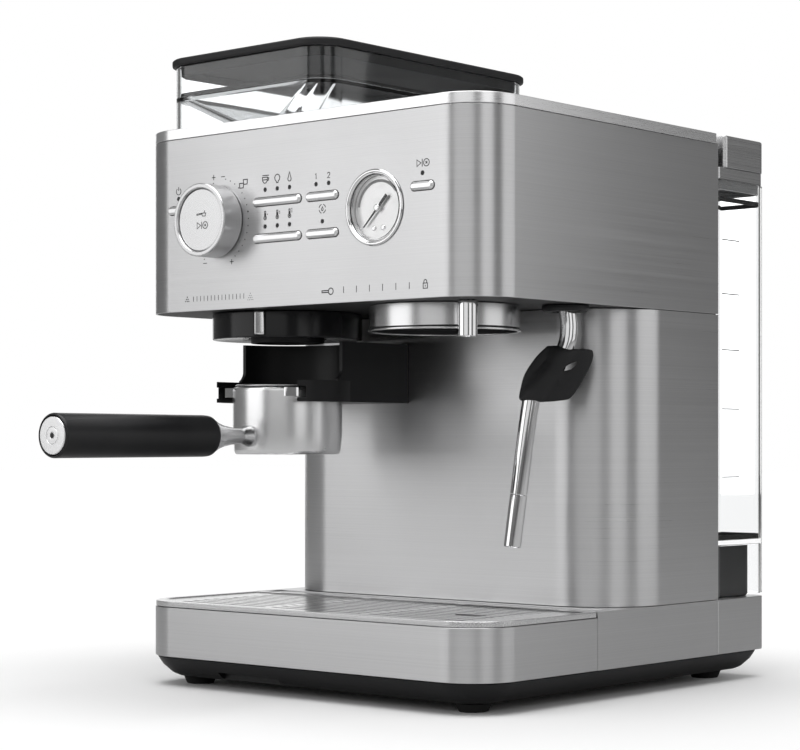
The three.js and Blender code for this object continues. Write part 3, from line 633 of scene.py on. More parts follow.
def makeRearCover():
    low, high = span("base_rear_cover")
    shape = lambda inset: outline(low, high, 0.6, 12, inset)
    levels = eased([(0.3, low.z), (0, low.z + 0.4), (0, high.z), (8, high.z)], 0.7)
    obj = rawObject("baseRearCover", stack(shape, [(shellWall, low.z)] + levels))
    hole = middle("power_inlet")
    combine(obj, [rodY(hole.x, hole.z, 8.1, high.y - 20, high.y + 5)])
    place(obj, "machine", finish["panel"], ["base_rear_cover"])


def makeBasePan():
    low, high = span("base_pan")
    shape = lambda inset: outline((-150, 0), (150, 318), 33, 20, inset, steps=14)
    levels = eased([(22, low.z + 1.5), (17, low.z), (11.5, 7.8), (5.2, 13.4), (1.7, 18.6), (1.7, high.z), (4, high.z)],
                   1.2)
    obj = rawObject("basePan", stack(shape, levels))
    combine(obj, [block(-78, -24, -5, 14, 0, 11.5), block(35, 110, -6, 9, 0, 8.5)])
    place(obj, "machine", finish["black"], ["base_pan"])


def makeFeet():
    for node in ("foot_front_left", "foot_front_right", "foot_rear_left", "foot_rear_right"):
        c, (low, high) = middle(node), span(node)
        profile = eased([(0, low.z + 0.4), (6, low.z + 0.4), (6.6, low.z), (9, low.z), (11.2, high.z),
                         (0, high.z)], 0.5)
        name = "foot" + "".join(word.title() for word in node.split("_")[1:])
        piece(name, lathe(profile, (c.x, c.y), segments=48), "machine", finish["rubber"], [node])


def makeTopDeck():
    low, high = span("top_deck")
    shape = lambda inset: outline(low, high, 33, 3, inset, steps=16)
    levels = eased([(3, low.z + 0.6), (2.4, low.z), (0, low.z), (0, high.z), (1.7, high.z), (2, 367.5), (12, 367.5)],
                   0.6)
    obj = rawObject("topDeck", stack(shape, levels))
    c = middle("grinder_housing")
    combine(obj, [rod(c.x, c.y, 23.5, 350, 390)])
    place(obj, "machine", finish["trim"], ["top_deck"])


makeHeadShell()
makeColumn()
makeRearCover()
makeBasePan()
makeFeet()
makeTopDeck()
print("housing made")

# Bean hopper and lid


def makeHopper():
    low, high = span("hopper")
    c = middle("grinder_housing")
    steps = 12
    shape = lambda inset: outline(low, high, 20, inset=inset, steps=steps)

    def mouth(radius):
        # its points pair with those of the rounded outline
        points = []
        for corner in range(4):
            for i in range(steps + 1):
                a = math.radians(90 * corner + 8 + 74 * i / steps)
                points.append((c.x + radius * math.cos(a), c.y + radius * math.sin(a)))
        return points

    bottom, ledge, top = 367.8, 397, high.z
    rings = []
    for inset, z in eased([(0, bottom + 0.2), (0, top), (2.5, top), (2.5, ledge), (8, ledge)], 0.5, 2):
        rings.append([(x, y, z) for x, y in shape(inset)])
    rings += [[(x, y, z) for x, y in mouth(r)] for r, z in ((20, 371.8), (20, low.z), (22.4, low.z), (22.4, 368.6))]
    for inset, z in ((6, ledge - 2.5), (2.5, ledge - 2.5), (2.5, bottom)):
        rings.append([(x, y, z) for x, y in shape(inset)])
    rings.append([(x, y, bottom) for x, y in shape(0.3)])
    piece("hopperBin", skin(rings, cyclic=True), "hopper", finish["clear"], ["hopper"])

    low, high = span("hopper_seal")
    seal = eased([(0, low.z), (0, high.z), (2.2, high.z), (2.2, low.z)], 0.5, closed=True)
    band = lambda inset: outline(low, high, 17.5, inset=inset, steps=steps)
    piece("hopperSeal", stack(band, seal, cyclic=True), "hopper", finish["seal"], ["hopper_seal"])


def makeHopperLid():
    low, high = span("hopper_lid")
    shape = lambda inset: outline(low, high, 22, inset=inset, steps=16)
    levels = eased([(12, 417.4), (8.3, 417.4), (8.3, 412), (6.2, 412), (6.2, 418.1), (0.5, 418.1), (0, 419.2),
                    (0, high.z - 1.2), (1.6, high.z), (12, high.z)], 0.6)
    piece("hopperLid", stack(shape, levels), "hopper_lid", finish["lid"], ["hopper_lid"])


makeHopper()
makeHopperLid()
print("hopper made")

# Grinder outlet, dosing fork and portafilter


def makeGrindCollar():
    low, high = span("grind_collar")
    c = (middle("grind_chute").x, middle("grind_chute").y)
    radius = (high.x - low.x) / 2
    profile = eased([(26.2, low.z + 1), (38, low.z + 0.6), (48, low.z), (radius, low.z), (radius, high.z),
                     (26.2, high.z)], 0.9, closed=True)
    piece("grindCollar", lathe(profile, c, segments=144, closed=True), "grind_collar",
          finish["blackGloss"], ["grind_collar"])
    funnel = eased([(24.6, 229.2), (24.6, 252.5), (36, 258), (36, 261), (33.5, 261), (22, 252), (22, 229.2)], 0.5,
                   closed=True)
    piece("grindChute", lathe(funnel, c, segments=72, closed=True), "machine", finish["black"],
          ["grind_chute"])


def makeGrindTab():
    # a polished pointer on the collar, rounded along its upright edges
    c = middle("grind_chute")
    angle = math.radians(-66.4)
    out, side = Vector((math.cos(angle), math.sin(angle), 0)), Vector((-math.sin(angle), math.cos(angle), 0))
    rings = []
    for inset, z in eased([(0.8, 233), (0, 233.7), (0, 247.8), (0.8, 248.5)], 0.5):
        ring = []
        for px, py in outline((50.65, -3.4), (53.3, 3.4), 0.9, inset=inset * 0.4, steps=4):
            p = c + out * px + side * py
            ring.append((p.x, p.y, z))
        rings.append(ring)
    piece("grindTab", skin(rings), "grind_collar", finish["polished"], ["grind_tab"])


fork = {"arm": 48, "bore": 37.6, "groove": 40.9, "wall": 44, "half": 46.5, "shelf": 203.5, "fillet": 8}


def makeDosingFork():
    low, high = span("dosing_fork")
    c = middle("grind_chute")
    x, y = c.x, c.y
    obj = rawObject("dosingFork", rod(x, y, fork["arm"], low.z, fork["shelf"], 128))
    half = fork["half"]
    combine(obj, [block(x - half, x + half, y, high.y, low.z, high.z)], "UNION")
    r, shelf = fork["fillet"], fork["shelf"]
    curve = [(y + 4 - r + r * math.sin(a), shelf + r - r * math.cos(a)) for a in (math.pi / 24 * i for i in range(13))]
    front = [(y - 60, high.z + 1), (y - 60, shelf)] + curve + [(y + 4, high.z + 1)]
    cutters = [
        rod(x, y, fork["bore"], 180, 210, 128),
        block(x - fork["bore"], x + fork["bore"], y - 60, y, 180, 210),
        rod(x, y, fork["groove"], 192.2, 199.7, 96),
        block(x - fork["groove"], x + fork["groove"], y - 60, y, 192.2, 199.7),
        block(x - 9, x + 9, y, y + 44, 192.2, 199.7),
        rod(x, y, fork["wall"], fork["shelf"], high.z + 1, 128),
        skin([[(px, py, z) for py, z in front] for px in (x - 60, x + 60)]),
    ]
    combine(obj, cutters)
    bevelled(obj, 0.7, 3, 38)
    place(obj, "machine", finish["black"], ["dosing_fork"])


def makePortafilter():
    c = middle("grind_chute")
    x, y = c.x, c.y
    profile = eased([(0, 160.2), (27, 160.2), (29.5, 156.5), (31, 154.7), (34.8, 154.7), (35.8, 157), (36.8, 168),
                     (36.9, 197.5), (36.3, 199.4), (33.6, 199.4), (33.4, 197), (33.4, 168), (30, 163.4), (0, 163)], 0.8)
    obj = rawObject("portafilterCup", lathe(profile, (x, y), segments=144))
    combine(obj, [merged(*[rod(x + side * 9, y, 3.2, 150, 170, 32) for side in (-1, 1)])])
    place(obj, "portafilter", finish["satinCup"], ["portafilter_cup"])

    ears = ((-42, 14, 42), (-138, 14, 42), (90, 16, 42), (0, 48, 39.8), (180, 48, 39.8))
    for i, (at, wide, reach) in enumerate(ears):
        rings = []
        for k in range(13):
            a = math.radians(at - wide / 2 + wide * k / 12)
            edge = 0.6 if k in (0, 12) else 0
            section = eased([(36, 192.8), (reach - edge, 192.8), (reach - edge, 199), (36, 199)], 0.35, closed=True)
            rings.append([(x + r * math.cos(a), y + r * math.sin(a), z) for r, z in section])
        piece("portafilterEar%d" % (i + 1), skin(rings), "portafilter", finish["polished"])


def makeBasket():
    c = middle("grind_chute")
    profile = eased([(0, 174.7), (27.8, 174.7), (28.8, 176), (29.8, 199), (31, 199.8), (35, 199.8), (35.4, 200.4),
                     (34.9, 201.3), (30, 201.3), (28.8, 199), (27.6, 176.6), (26.8, 175.6), (0, 175.6)], 0.5)
    piece("filterBasket", lathe(profile, (c.x, c.y), segments=96), "portafilter", finish["basket"],
          ["filter_basket"])


basketHoleShade = {"Rings": 9, "Pitch": 2.7 * mm, "Pit": 0.32 * mm}


def makeBasketHoles():
    # a round field of tiny dark discs on the basket's floor: painted shade that stands for the holes of the perforated
    # basket
    tree, start, end = newTree(
        "basketHoleShade", "GeometryNodeTree",
        [("Rings", "Int", 9), ("Pitch", "Float", 2.7 * mm), ("Pit", "Float", 0.32 * mm)],
        [("Geometry", "Geometry")])
    doubled = addNode(tree, "ShaderNodeMath", {0: start["Rings"], 1: 2}, operation="MULTIPLY").outputs[0]
    size = addNode(tree, "ShaderNodeMath", {0: doubled, 1: start["Pitch"]}, operation="MULTIPLY").outputs[0]
    count = addNode(tree, "ShaderNodeMath", {0: doubled, 1: 1}, operation="ADD").outputs[0]
    grid = addNode(tree, "GeometryNodeMeshGrid", {
        "Size X": size, "Size Y": size, "Vertices X": count, "Vertices Y": count})
    position = addNode(tree, "GeometryNodeInputPosition").outputs[0]
    length = addNode(tree, "ShaderNodeVectorMath", {0: position}, operation="LENGTH")
    radius = addNode(tree, "ShaderNodeMath", {0: start["Rings"], 1: start["Pitch"]}, operation="MULTIPLY")
    inside = addNode(tree, "FunctionNodeCompare", {"A": length.outputs["Value"], "B": radius.outputs[0]},
                     operation="LESS_THAN")
    points = addNode(tree, "GeometryNodeMeshToPoints", {
        "Mesh": grid.outputs["Mesh"], "Selection": inside.outputs["Result"]})
    holeShadeDisc = addNode(tree, "GeometryNodeMeshCylinder", {"Vertices": 8, "Radius": start["Pit"], "Depth": 0.06 * mm})
    holeShadeDiscs = onPoints(tree, points.outputs["Points"], holeShadeDisc.outputs["Mesh"])
    # the discs take the dark lens finish, so the basket's holes show as painted shade
    tree.links.new(painted(tree, holeShadeDiscs, finish["lens"]), end["Geometry"])
    c = middle("grind_chute")
    laidOut("basketHoleShade", tree, basketHoleShade, (c.x * mm, frontY + c.y * mm, 175.62 * mm), "portafilter")


def makeNeck():
    low, high = span("handle_grip")
    c = middle("handle_grip")
    cupFace = middle("grind_chute").y - 36.9
    grip = high.y
    neck = eased([(0, grip - 14), (5, grip - 14), (5, grip + 0.3), (12, grip + 0.3), (11.6, grip + 1.6),
                  (9, grip + 7), (7, grip + 13.5), (5.7, grip + 21), (5.2, grip + 28), (5.6, cupFace - 7),
                  (7.1, cupFace - 2.5), (7.3, cupFace + 0.8), (0, cupFace + 0.8)], 2.2, 6)
    piece("portafilterNeck", lathe(neck, (c.x, c.z), "y", 72), "portafilter", finish["neck"],
          ["portafilter_neck"])


def makeHandle():
    low, high = span("handle_grip")
    cap = span("handle_cap")[0]
    c = middle("handle_grip")
    body = eased([(5.4, low.y + 4.2), (12.3, low.y + 4.2), (12.3, low.y + 0.5), (13.0, low.y), (13.8, low.y + 1.2),
                  (13.75, low.y + 8), (13.5, high.y - 5), (13.2, high.y - 1), (12.3, high.y), (5.4, high.y)],
                 0.8, 5, closed=True)
    piece("handleGrip", lathe(body, (c.x, c.z), "y", 96, closed=True), "portafilter",
          finish["handle"], ["handle_grip"])
    face = eased([(0, cap.y + 0.1), (1.9, cap.y + 0.1), (2.0, cap.y + 0.5), (2.2, cap.y), (5.1, cap.y),
                  (5.25, cap.y + 0.6), (5.5, cap.y), (11.3, cap.y), (11.75, cap.y + 0.6), (12.05, cap.y + 4),
                  (5, cap.y + 4), (5, cap.y + 12), (0, cap.y + 12)], 0.2, 2)
    piece("handleCap", lathe(face, (c.x, c.z), "y", 96), "portafilter", finish["button"],
          ["handle_cap"])
    dot = eased([(0, cap.y + 0.02), (1.75, cap.y + 0.02), (1.75, cap.y + 0.3), (0, cap.y + 0.3)], 0.05)
    piece("handleCapDot", lathe(dot, (c.x, c.z), "y", 32), "portafilter", finish["ink"])


makeGrindCollar()
makeGrindTab()
makeDosingFork()
makePortafilter()
makeBasket()
makeBasketHoles()
makeNeck()
makeHandle()
print("grinder outlet and portafilter made")

# Brew group and hot water spout


def makeGroup():
    c = middle("group_ring")
    low, high = span("group_ring")
    ring = eased([(46.4, low.z), (48.5, low.z), (48.5, low.z + 1.2), (47.5, low.z + 2.2), (47.5, high.z),
                  (44, high.z), (44, 238), (46.4, 236)], 0.4, closed=True)
    piece("groupRing", lathe(ring, (c.x, c.y), segments=160, closed=True), "machine",
          finish["group"], ["group_ring"])
    lining = eased([(45.9, low.z + 0.7), (46.3, low.z + 0.7), (46.3, 235.9), (43.9, 238), (43.9, 245.8), (43.5, 245.8),
                    (43.5, 237.8), (45.9, 235.7)], 0.15, closed=True)
    piece("groupLining", lathe(lining, (c.x, c.y), segments=96, closed=True), "machine",
          finish["black"])
    head = eased([(0, 246), (43.4, 246), (43.4, 262), (0, 262)], 0.8)
    piece("groupHead", lathe(head, (c.x, c.y), segments=96), "machine", finish["machinery"],
          ["group_head"])
    gasket = eased([(29, 241.5), (37.2, 241.5), (37.2, 245.7), (29, 245.7)], 0.8, closed=True)
    piece("groupGasket", lathe(gasket, (c.x, c.y), segments=96, closed=True), "machine",
          finish["seal"], ["group_gasket"])
    screen = eased([(0, 242.4), (2.4, 242.4), (2.6, 242), (27, 242), (28.6, 243), (28.6, 245.7), (0, 245.7)], 0.5)
    piece("showerScreen", lathe(screen, (c.x, c.y), segments=96), "machine", finish["group"],
          ["shower_screen"])


def makeSpout():
    c = middle("hot_water_spout")
    low, high = span("hot_water_spout")
    r = (high.x - low.x) / 2
    profile = eased([(0, low.z + 17), (3.4, low.z + 17), (3.4, low.z), (r, low.z), (r, 248.9), (4.6, 248.9),
                     (4.6, high.z), (0, high.z)], 0.7)
    piece("hotWaterSpout", lathe(profile, (c.x, c.y), segments=56), "machine", finish["polished"],
          ["hot_water_spout"])


makeGroup()
makeSpout()
print("brew group made")

# Steam wand

wand = {"radius": 5.55, "lean": 221, "sleeve": 8.1, "tab": 3.0}


def leaning(reach, z, side=0.0):
    a = math.radians(wand["lean"])
    c = middle("wand_ball")
    return Vector((c.x + reach * math.cos(a) - side * math.sin(a), c.y + reach * math.sin(a) + side * math.cos(a), z))


wandRoute = [(-1.1, 246), (-1.7, 242.5), (-2.2, 234), (-0.6, 224), (6, 210), (14.6, 199.5), (20.6, 192),
             (22.5, 184), (25.8, 160), (29.4, 130.1)]


def makeWand():
    c = middle("wand_ball")
    r = 8.5
    arc = [(r * math.cos(math.radians(a)), c.z + r * math.sin(math.radians(a))) for a in range(-90, 91, 6)]
    arc[0], arc[-1] = (0, arc[0][1]), (0, arc[-1][1])
    piece("wandBall", lathe(arc, (c.x, c.y), segments=48), "wand_ball", finish["polished"],
          ["wand_ball"])
    line = smoothLine([leaning(reach, z) for reach, z in wandRoute], 7)
    piece("wandTube", tube(line, wand["radius"], 40), "steam_wand", finish["polished"], ["wand_tube"])
    low = span("wand_tip")[0]
    top, end = leaning(29.43, 129.8), leaning(33.5, low.z + 0.5)
    tip = [top.lerp(end, t) for t in (0, 0.012, 0.5, 0.985, 1)]
    taper = lambda t: wand["radius"] - (0.35 if t < 0.01 or t > 0.99 else 0)
    piece("wandTip", tube(tip, taper, 40), "steam_wand", finish["polished"], ["wand_tip"])


def makeWandGrip():
    # a leaf with a thick swollen spine round the tube and a thin finger tab behind it
    leaf = [(11.5, 223.4), (4.5, 223.6), (-3.1, 221.6), (-15.2, 221.3), (-17.6, 218.5), (-16.6, 213), (-13.8, 207),
            (-9.4, 198.8), (-3.7, 191.2), (1, 189.2), (15.2, 188), (25, 188.4), (29.1, 190), (28.4, 196.3),
            (25.6, 206), (18.4, 216.7)]
    edge = [Vector((r, z, 0)) for r, z in leaf]
    edge = smoothLine(edge + edge[:1], 4)[:-1]
    heart = Vector((8, 207, 0))
    spine = [Vector((r, z, 0)) for r, z in wandRoute]

    def thickness(p):
        gap = min((p - q).length for line in zip(spine, spine[1:]) for q in [nearest(p, *line)])
        bulge = wand["sleeve"] ** 2 - gap ** 2
        return max(wand["tab"] * 0.8, math.sqrt(bulge) if bulge > 0 else 0)

    rings = []
    for side in (1, -1):
        shares = (0.06, 0.16, 0.3, 0.45, 0.6, 0.74, 0.86, 0.94, 0.985, 1) if side > 0 else (
            0.985, 0.94, 0.86, 0.74, 0.6, 0.45, 0.3, 0.16, 0.06)
        for share in shares:
            ring = []
            for p in edge:
                q = heart.lerp(p, share)
                fall = math.sqrt(max(0.0, 1 - share ** 9))
                w = thickness(q) * (0.25 + 0.75 * fall) if share < 1 else 0.0
                ring.append(tuple(leaning(q.x, q.y, side * w)))
            rings.append(ring)
    obj = rawObject("wandGrip", skin(rings))
    slot = [(2.4, 207.4), (-0.6, 210.9), (-7, 213.4), (-4, 209)]
    slotEdge = [Vector((r, z, 0)) for r, z in slot]
    slotEdge = smoothLine(slotEdge + slotEdge[:1], 4)[:-1]
    combine(obj, [skin([[tuple(leaning(p.x, p.y, side)) for p in slotEdge] for side in (-14, 14)])])
    place(obj, "steam_wand", finish["silicone"], ["wand_grip"], 50)


def nearest(p, a, b):
    t = max(0.0, min(1.0, (p - a).dot(b - a) / (b - a).length_squared))
    return a.lerp(b, t)


def makeWandSocket():
    c = middle("wand_ball")
    seat = [(9.2 * math.cos(math.radians(a)), c.z + 9.2 * math.sin(math.radians(a))) for a in range(24, -31, -6)]
    outer = eased([(9.6, 244.8), (13.6, 244.8), (15, 246.4), (15, 248.9), (11.8, 248.9), (11.8, 261), (9.3, 261)], 0.6)
    piece("wandSocket", lathe(outer + seat + [(8.7, 247.4)], (c.x, c.y), segments=72, closed=True), "machine",
          finish["black"], ["wand_socket"])


makeWand()
makeWandGrip()
makeWandSocket()
print("steam wand made")

# Knob, buttons and gauge


def makeKnob():
    c = middle("knob_ring")
    low = span("knob_ring")[0].y
    ring = eased([(6, -7), (20.3, -7), (20.3, low + 1), (20.9, low), (23.1, low), (23.7, low + 0.7), (23.7, -1.8),
                  (22.9, -1.4), (22.9, -0.5), (8.4, -0.5), (8.4, 5.6), (6, 5.6)], 0.3, closed=True)
    piece("knobRing", lathe(ring, (c.x, c.z), "y", 144, closed=True), "grind_knob", finish["knob"],
          ["knob_ring"])
    face = eased([(0, low + 1.7), (19.7, low + 1.7), (20.1, low + 2.1), (20.1, -11.4), (5.4, -11.4), (5.4, 5), (0, 5)],
                 0.3, 4)
    piece("brewButton", lathe(face, (c.x, c.z), "y", 128), "brew_button", finish["knob"],
          ["brew_button"])


def makeButtons():
    for node in buttonNodes:
        low, high = span(node)
        front = low.y
        levels = eased([(1.5, front), (0, front + 1.2), (0, high.y)], 0.7, 4)
        levels = [(2.2, front)] + levels
        name = "".join(word if i == 0 else word.title() for i, word in enumerate(node.split("_")))
        piece(name, pill((low.x + high.x) / 2, (low.z + high.z) / 2, high.x - low.x, high.z - low.z, levels), node,
              finish["button"], [node])


gaugeLook = {"dial": 19.6, "depth": 4.7, "band": (15.8, 17.6), "bandFrom": 175, "bandTo": 35,
             "screws": ((-4.1, -12.1), (3.4, -12.1))}


def makeGauge():
    c = middle("gauge_body")
    low, high = span("gauge_body")
    depth = gaugeLook["depth"]
    bezel = eased([(0, depth + 0.3), (19.9, depth + 0.3), (20, 1), (20.4, -0.2), (20.9, -0.75), (21.3, -0.6),
                   (21.7, -1.3), (22.7, -1.3), (23.5, -0.7), (23.5, -0.3), (20.9, -0.3), (20.9, 24), (0, 24)], 0.25, 3)
    piece("gaugeBody", lathe(bezel, (c.x, c.z), "y", 144), "machine", finish["gauge"],
          ["gauge_body"])
    dial = gaugeLook["dial"]
    face = eased([(0, depth), (dial, depth), (dial, depth + 0.25), (0, depth + 0.25)], 0.05, 1)
    piece("gaugeDial", lathe(face, (c.x, c.z), "y", 96), "machine", finish["dial"])
    inner, outer = gaugeLook["band"]
    points = []
    count = 60
    for r, backwards in ((outer, False), (inner, True)):
        for i in range(count + 1):
            k = count - i if backwards else i
            a = math.radians(gaugeLook["bandFrom"] + (gaugeLook["bandTo"] - gaugeLook["bandFrom"]) * k / count)
            points.append((c.x + r * math.cos(a), c.z + r * math.sin(a)))
    band = skin([[(x, y, z) for x, z in points] for y in (depth - 0.06, depth + 0.1)])
    piece("gaugeBand", band, "machine",
          finish["dialBand"])
    for i, (dx, dz) in enumerate(gaugeLook["screws"]):
        head = eased([(0, depth - 0.9), (1.3, depth - 0.9), (1.8, depth - 0.4), (1.8, depth + 0.1), (0, depth + 0.1)],
                     0.3, 3)
        piece("gaugeScrew%d" % (i + 1), lathe(head, (c.x + dx, c.z + dz), "y", 28), "machine",
              finish["gauge"])
    low, high = span("gauge_glass")
    pane = eased([(0, low.y), (19.5, low.y), (19.5, high.y), (0, high.y)], 0.25, 2)
    piece("gaugeGlass", lathe(pane, (c.x, c.z), "y", 96), "machine", finish["glass"],
          ["gauge_glass"])


def makeNeedle():
    c = middle("gauge_body")
    a = math.radians(225)
    along, across = Vector((math.cos(a), 0, math.sin(a))), Vector((math.sin(a), 0, -math.cos(a)))
    rings = []
    for distance, half in ((-10.4, 0.95), (-9.9, 1.0), (-3.2, 0.85), (-3, 0.55), (0, 0.6), (15.4, 0.28), (16.1, 0.1)):
        mid = Vector((c.x, 3, c.z)) + along * distance
        rings.append([tuple(mid + across * half * s + Vector((0, d, 0)))
                      for s, d in ((-1, -0.35), (1, -0.35), (1, 0.35), (-1, 0.35))])
    hub = eased([(0, 1.5), (1.6, 1.5), (2.3, 2.1), (2.3, 4.5), (0, 4.5)], 0.4, 4)
    piece("gaugeNeedle", skin(rings), "gauge_needle", finish["ink"], ["gauge_needle"])
    piece("gaugeHub", lathe(hub, (c.x, c.z), "y", 40), "gauge_needle", finish["polished"])


makeKnob()
makeButtons()
makeGauge()
makeNeedle()
print("controls made")

# Printed symbols on the panel. A stroke is a line of (x, z) points with a width.

ink = {"front": -0.07, "back": 0.05, "line": 0.5}


def stroke(points, width=None, closed=False):
    half = (width or ink["line"]) / 2
    flat = [Vector(p) for p in points]
    count = len(flat)
    sides = []
    for i, p in enumerate(flat):
        before = flat[i - 1] if (closed or i > 0) else p
        after = flat[(i + 1) % count] if (closed or i < count - 1) else p
        a = (p - before).normalized() if before != p else (after - p).normalized()
        b = (after - p).normalized() if after != p else a
        across = Vector((-(a + b).y, (a + b).x))
        across = across.normalized() if across.length > 1e-6 else Vector((-a.y, a.x))
        stretch = min(1.6, 1 / max(0.4, across.dot(Vector((-a.y, a.x)))))
        sides.append((p + across * half * stretch, p - across * half * stretch))
    rings = [[(q.x, y, q.y) for q, y in ((l, ink["front"]), (r, ink["front"]), (r, ink["back"]), (l, ink["back"]))]
             for l, r in sides]
    return skin(rings, cyclic=closed)


def arc(cx, cz, r, start, stop, count=16):
    angles = [math.radians(start + (stop - start) * i / count) for i in range(count + 1)]
    return [(cx + r * math.cos(a), cz + r * math.sin(a)) for a in angles]


def ringLine(cx, cz, r, width=None, count=28):
    return stroke(circle(cx, cz, r, count), width, closed=True)


def spot(cx, cz, r, count=16):
    return skin([[(x, y, z) for x, z in circle(cx, cz, r, count)] for y in (ink["front"], ink["back"])])


def shifted(solid, dx, dz, dy=0.0, size=1.0):
    return [(x * size + dx, y + dy, z * size + dz) for x, y, z in solid[0]], solid[1]


def powerSymbol():
    return merged(stroke(arc(0, 0, 2.2, 125, 415)), stroke([(0, 0.5), (0, 3)]))


def cupSymbol():
    body = [(-2.1, 1.4), (1.9, 1.4), (1.6, -0.6), (0.6, -1.8), (-0.9, -1.8), (-1.9, -0.6)]
    return merged(stroke(body, closed=True), stroke([(-1.9, 0), (1.7, 0)]),
                  stroke([(1.8, 1), (2.9, 0.9), (2.6, -0.3), (1.6, -0.6)]), stroke([(-2.1, 2.4), (2.9, 2.4)]))


def leafSymbol():
    edge = [(0, 2.4), (1.3, 1.9), (2, 0.7), (1.6, -0.7), (0.7, -1.5), (0.5, -2.3), (-0.5, -2.3), (-0.7, -1.5),
            (-1.6, -0.7), (-2, 0.7), (-1.3, 1.9)]
    return stroke(edge, closed=True)


def dropSymbol():
    edge = [(0, 3)] + arc(0, -0.9, 1.25, 35, -215, 14)
    return stroke(edge, closed=True)


def heatSymbol(ticks):
    bulb = stroke([(-0.55, -0.8), (-0.55, 2.4), (0.55, 2.4), (0.55, -0.8)] + arc(0, -1.9, 1.2, 60, -240, 12)[1:-1],
                  closed=True)
    marks = [stroke([(1.6, 0.4 + 1.1 * i), (2.5, 0.4 + 1.1 * i)]) for i in range(ticks)]
    return merged(bulb, spot(0, -1.9, 0.6), stroke([(0, -1.9), (0, 1.1)]), *marks)


def flushSymbol():
    dashes = [stroke(arc(0, 0, 2.8, start, start + 62, 6)) for start in range(14, 374, 90)]
    return merged(*dashes, stroke([(0, 1.3)] + arc(0, -0.4, 0.75, 35, -215, 10), closed=True))


def playStopSymbol():
    return merged(stroke([(-4.4, 2), (-4.4, -2), (-1.2, 0)], closed=True), stroke([(-0.2, 2.3), (-0.2, -2.3)]),
                  ringLine(3.1, 0, 2.2), stroke([(2.4, 0.7), (3.8, -0.7)]), stroke([(3.8, 0.7), (2.4, -0.7)]))


def portafilterSymbol():
    return merged(ringLine(2.4, 0, 1.6), stroke([(0.7, 0.45), (-3.6, 0.45), (-3.6, -0.45), (0.7, -0.45)]))


def portafilterSideSymbol():
    cup = [(0.5, 0.6), (4.2, 0.6), (3.6, -1.3), (1.1, -1.3)]
    return merged(stroke(cup, closed=True), stroke([(0.5, 0.1), (-4.2, -0.5), (-4.2, 0.3), (0.5, 0.6)]),
                  stroke([(2.3, 0.6), (3.2, 2.2)]))


def lockSymbol():
    return merged(stroke([(-1.7, -2.2), (1.7, -2.2), (1.7, 0.9), (-1.7, 0.9)], closed=True),
                  stroke([(-1.1, 0.9)] + arc(0, 1.9, 1.1, 180, 0, 10) + [(1.1, 0.9)]), stroke([(0, -1.2), (0, -0.2)]))


def cupsSymbol():
    small = [(-1.7, 1.2), (1.3, 1.2), (1.1, -1.2), (-1.5, -1.2)]
    return merged(shifted(stroke(small, closed=True), -1.3, -0.8), shifted(stroke(small, closed=True), 1.5, 1))


def heapSymbol(grain, rows):
    # a heap of grounds: short lines for a fine grind, dots for a coarse one
    marks = []
    for row in range(rows):
        for i in range(row + 1):
            x, z = (i - row / 2) * 1.5, 1.5 - row * 1.4
            marks.append(spot(x, z, grain, 10))
    return merged(*marks)


def digitSymbol(digit):
    one = [(-0.6, 1.1), (0.1, 1.7), (0.1, -1.7)]
    two = arc(0, 0.7, 1.0, 165, -20, 10) + [(-1.0, -1.65), (1.1, -1.65)]
    return stroke(one if digit == 1 else two, 0.5)


def crossSymbol(plus=True):
    bar = stroke([(-1.7, 0), (1.7, 0)])
    return merged(bar, stroke([(0, -1.7), (0, 1.7)])) if plus else bar


symbolRow = {"upper": 330.3, "lower": 307.8, "scale": 257}


def makeSymbols():
    marks = []
    lamps = {node: middle(node).x for node in buttonNodes}
    pitch = lampRow["pitch"]
    marks.append(shifted(powerSymbol(), lamps["power_button"], 328.9))
    for i, symbol in enumerate((cupSymbol(), leafSymbol(), dropSymbol())):
        marks.append(shifted(symbol, lamps["mode_button"] + (i - 1) * pitch, symbolRow["upper"], 0, 1.15))
    for i in range(3):
        marks.append(shifted(heatSymbol(i + 1), lamps["temperature_button"] + (i - 1) * pitch, symbolRow["lower"]))
    for i in (0, 1):
        marks.append(shifted(digitSymbol(i + 1), lamps["shot_button"] + (i - 0.5) * pitch, 328.9))
    marks.append(shifted(flushSymbol(), lamps["clean_button"], 308.3))
    marks.append(shifted(playStopSymbol(), lamps["steam_button"], 330))
    knob = middle("knob_ring")
    marks.append(shifted(crossSymbol(), knob.x - 3.9, 335.5))
    marks.append(shifted(crossSymbol(False), knob.x + 4.8, 335.4))
    marks.append(shifted(crossSymbol(), knob.x + 12.8, 279.7))
    marks.append(shifted(crossSymbol(False), knob.x - 12, 280))
    marks.append(shifted(cupsSymbol(), knob.x + 23.7, 329.2, 0, 1.25))
    for i in range(15):
        a = math.radians(75 - 9.32 * i)
        marks.append(spot(knob.x + 28.1 * math.cos(a), knob.z + 28.1 * math.sin(a), 0.65 if i == 7 else 0.42, 10))
    marks.append(spot(knob.x - 4.2, 331.7, 0.42, 10))
    marks.append(spot(knob.x - 12.7, 282.6, 0.42, 10))
    marks.append(shifted(heapSymbol(0.45, 3), -99.1, symbolRow["scale"]))
    marks.append(shifted(heapSymbol(0.3, 4), -40.3, symbolRow["scale"]))
    marks.append(shifted(portafilterSymbol(), 27.2, symbolRow["scale"] - 0.5, 0, 1.25))
    marks.append(shifted(lockSymbol(), 107.3, symbolRow["scale"]))
    for i in range(6):
        x = 41 + i * 10.73
        marks.append(stroke([(x, symbolRow["scale"] - 2.1), (x, symbolRow["scale"] + 2)], 0.42))
    piece("panelSymbols", merged(*marks), "machine", finish["ink"])
    face = span("knob_ring")[0].y + 1.7
    onKnob = merged(shifted(portafilterSideSymbol(), knob.x + 0.9, knob.z + 3.6, face),
                    shifted(playStopSymbol(), knob.x + 1.4, knob.z - 3.6, face))
    piece("brewSymbols", onKnob, "brew_button", finish["ink"])


scaleBars = {"Count": 15, "Pitch": 3.35 * mm, "Width": 0.42 * mm, "Height": 3.4 * mm}


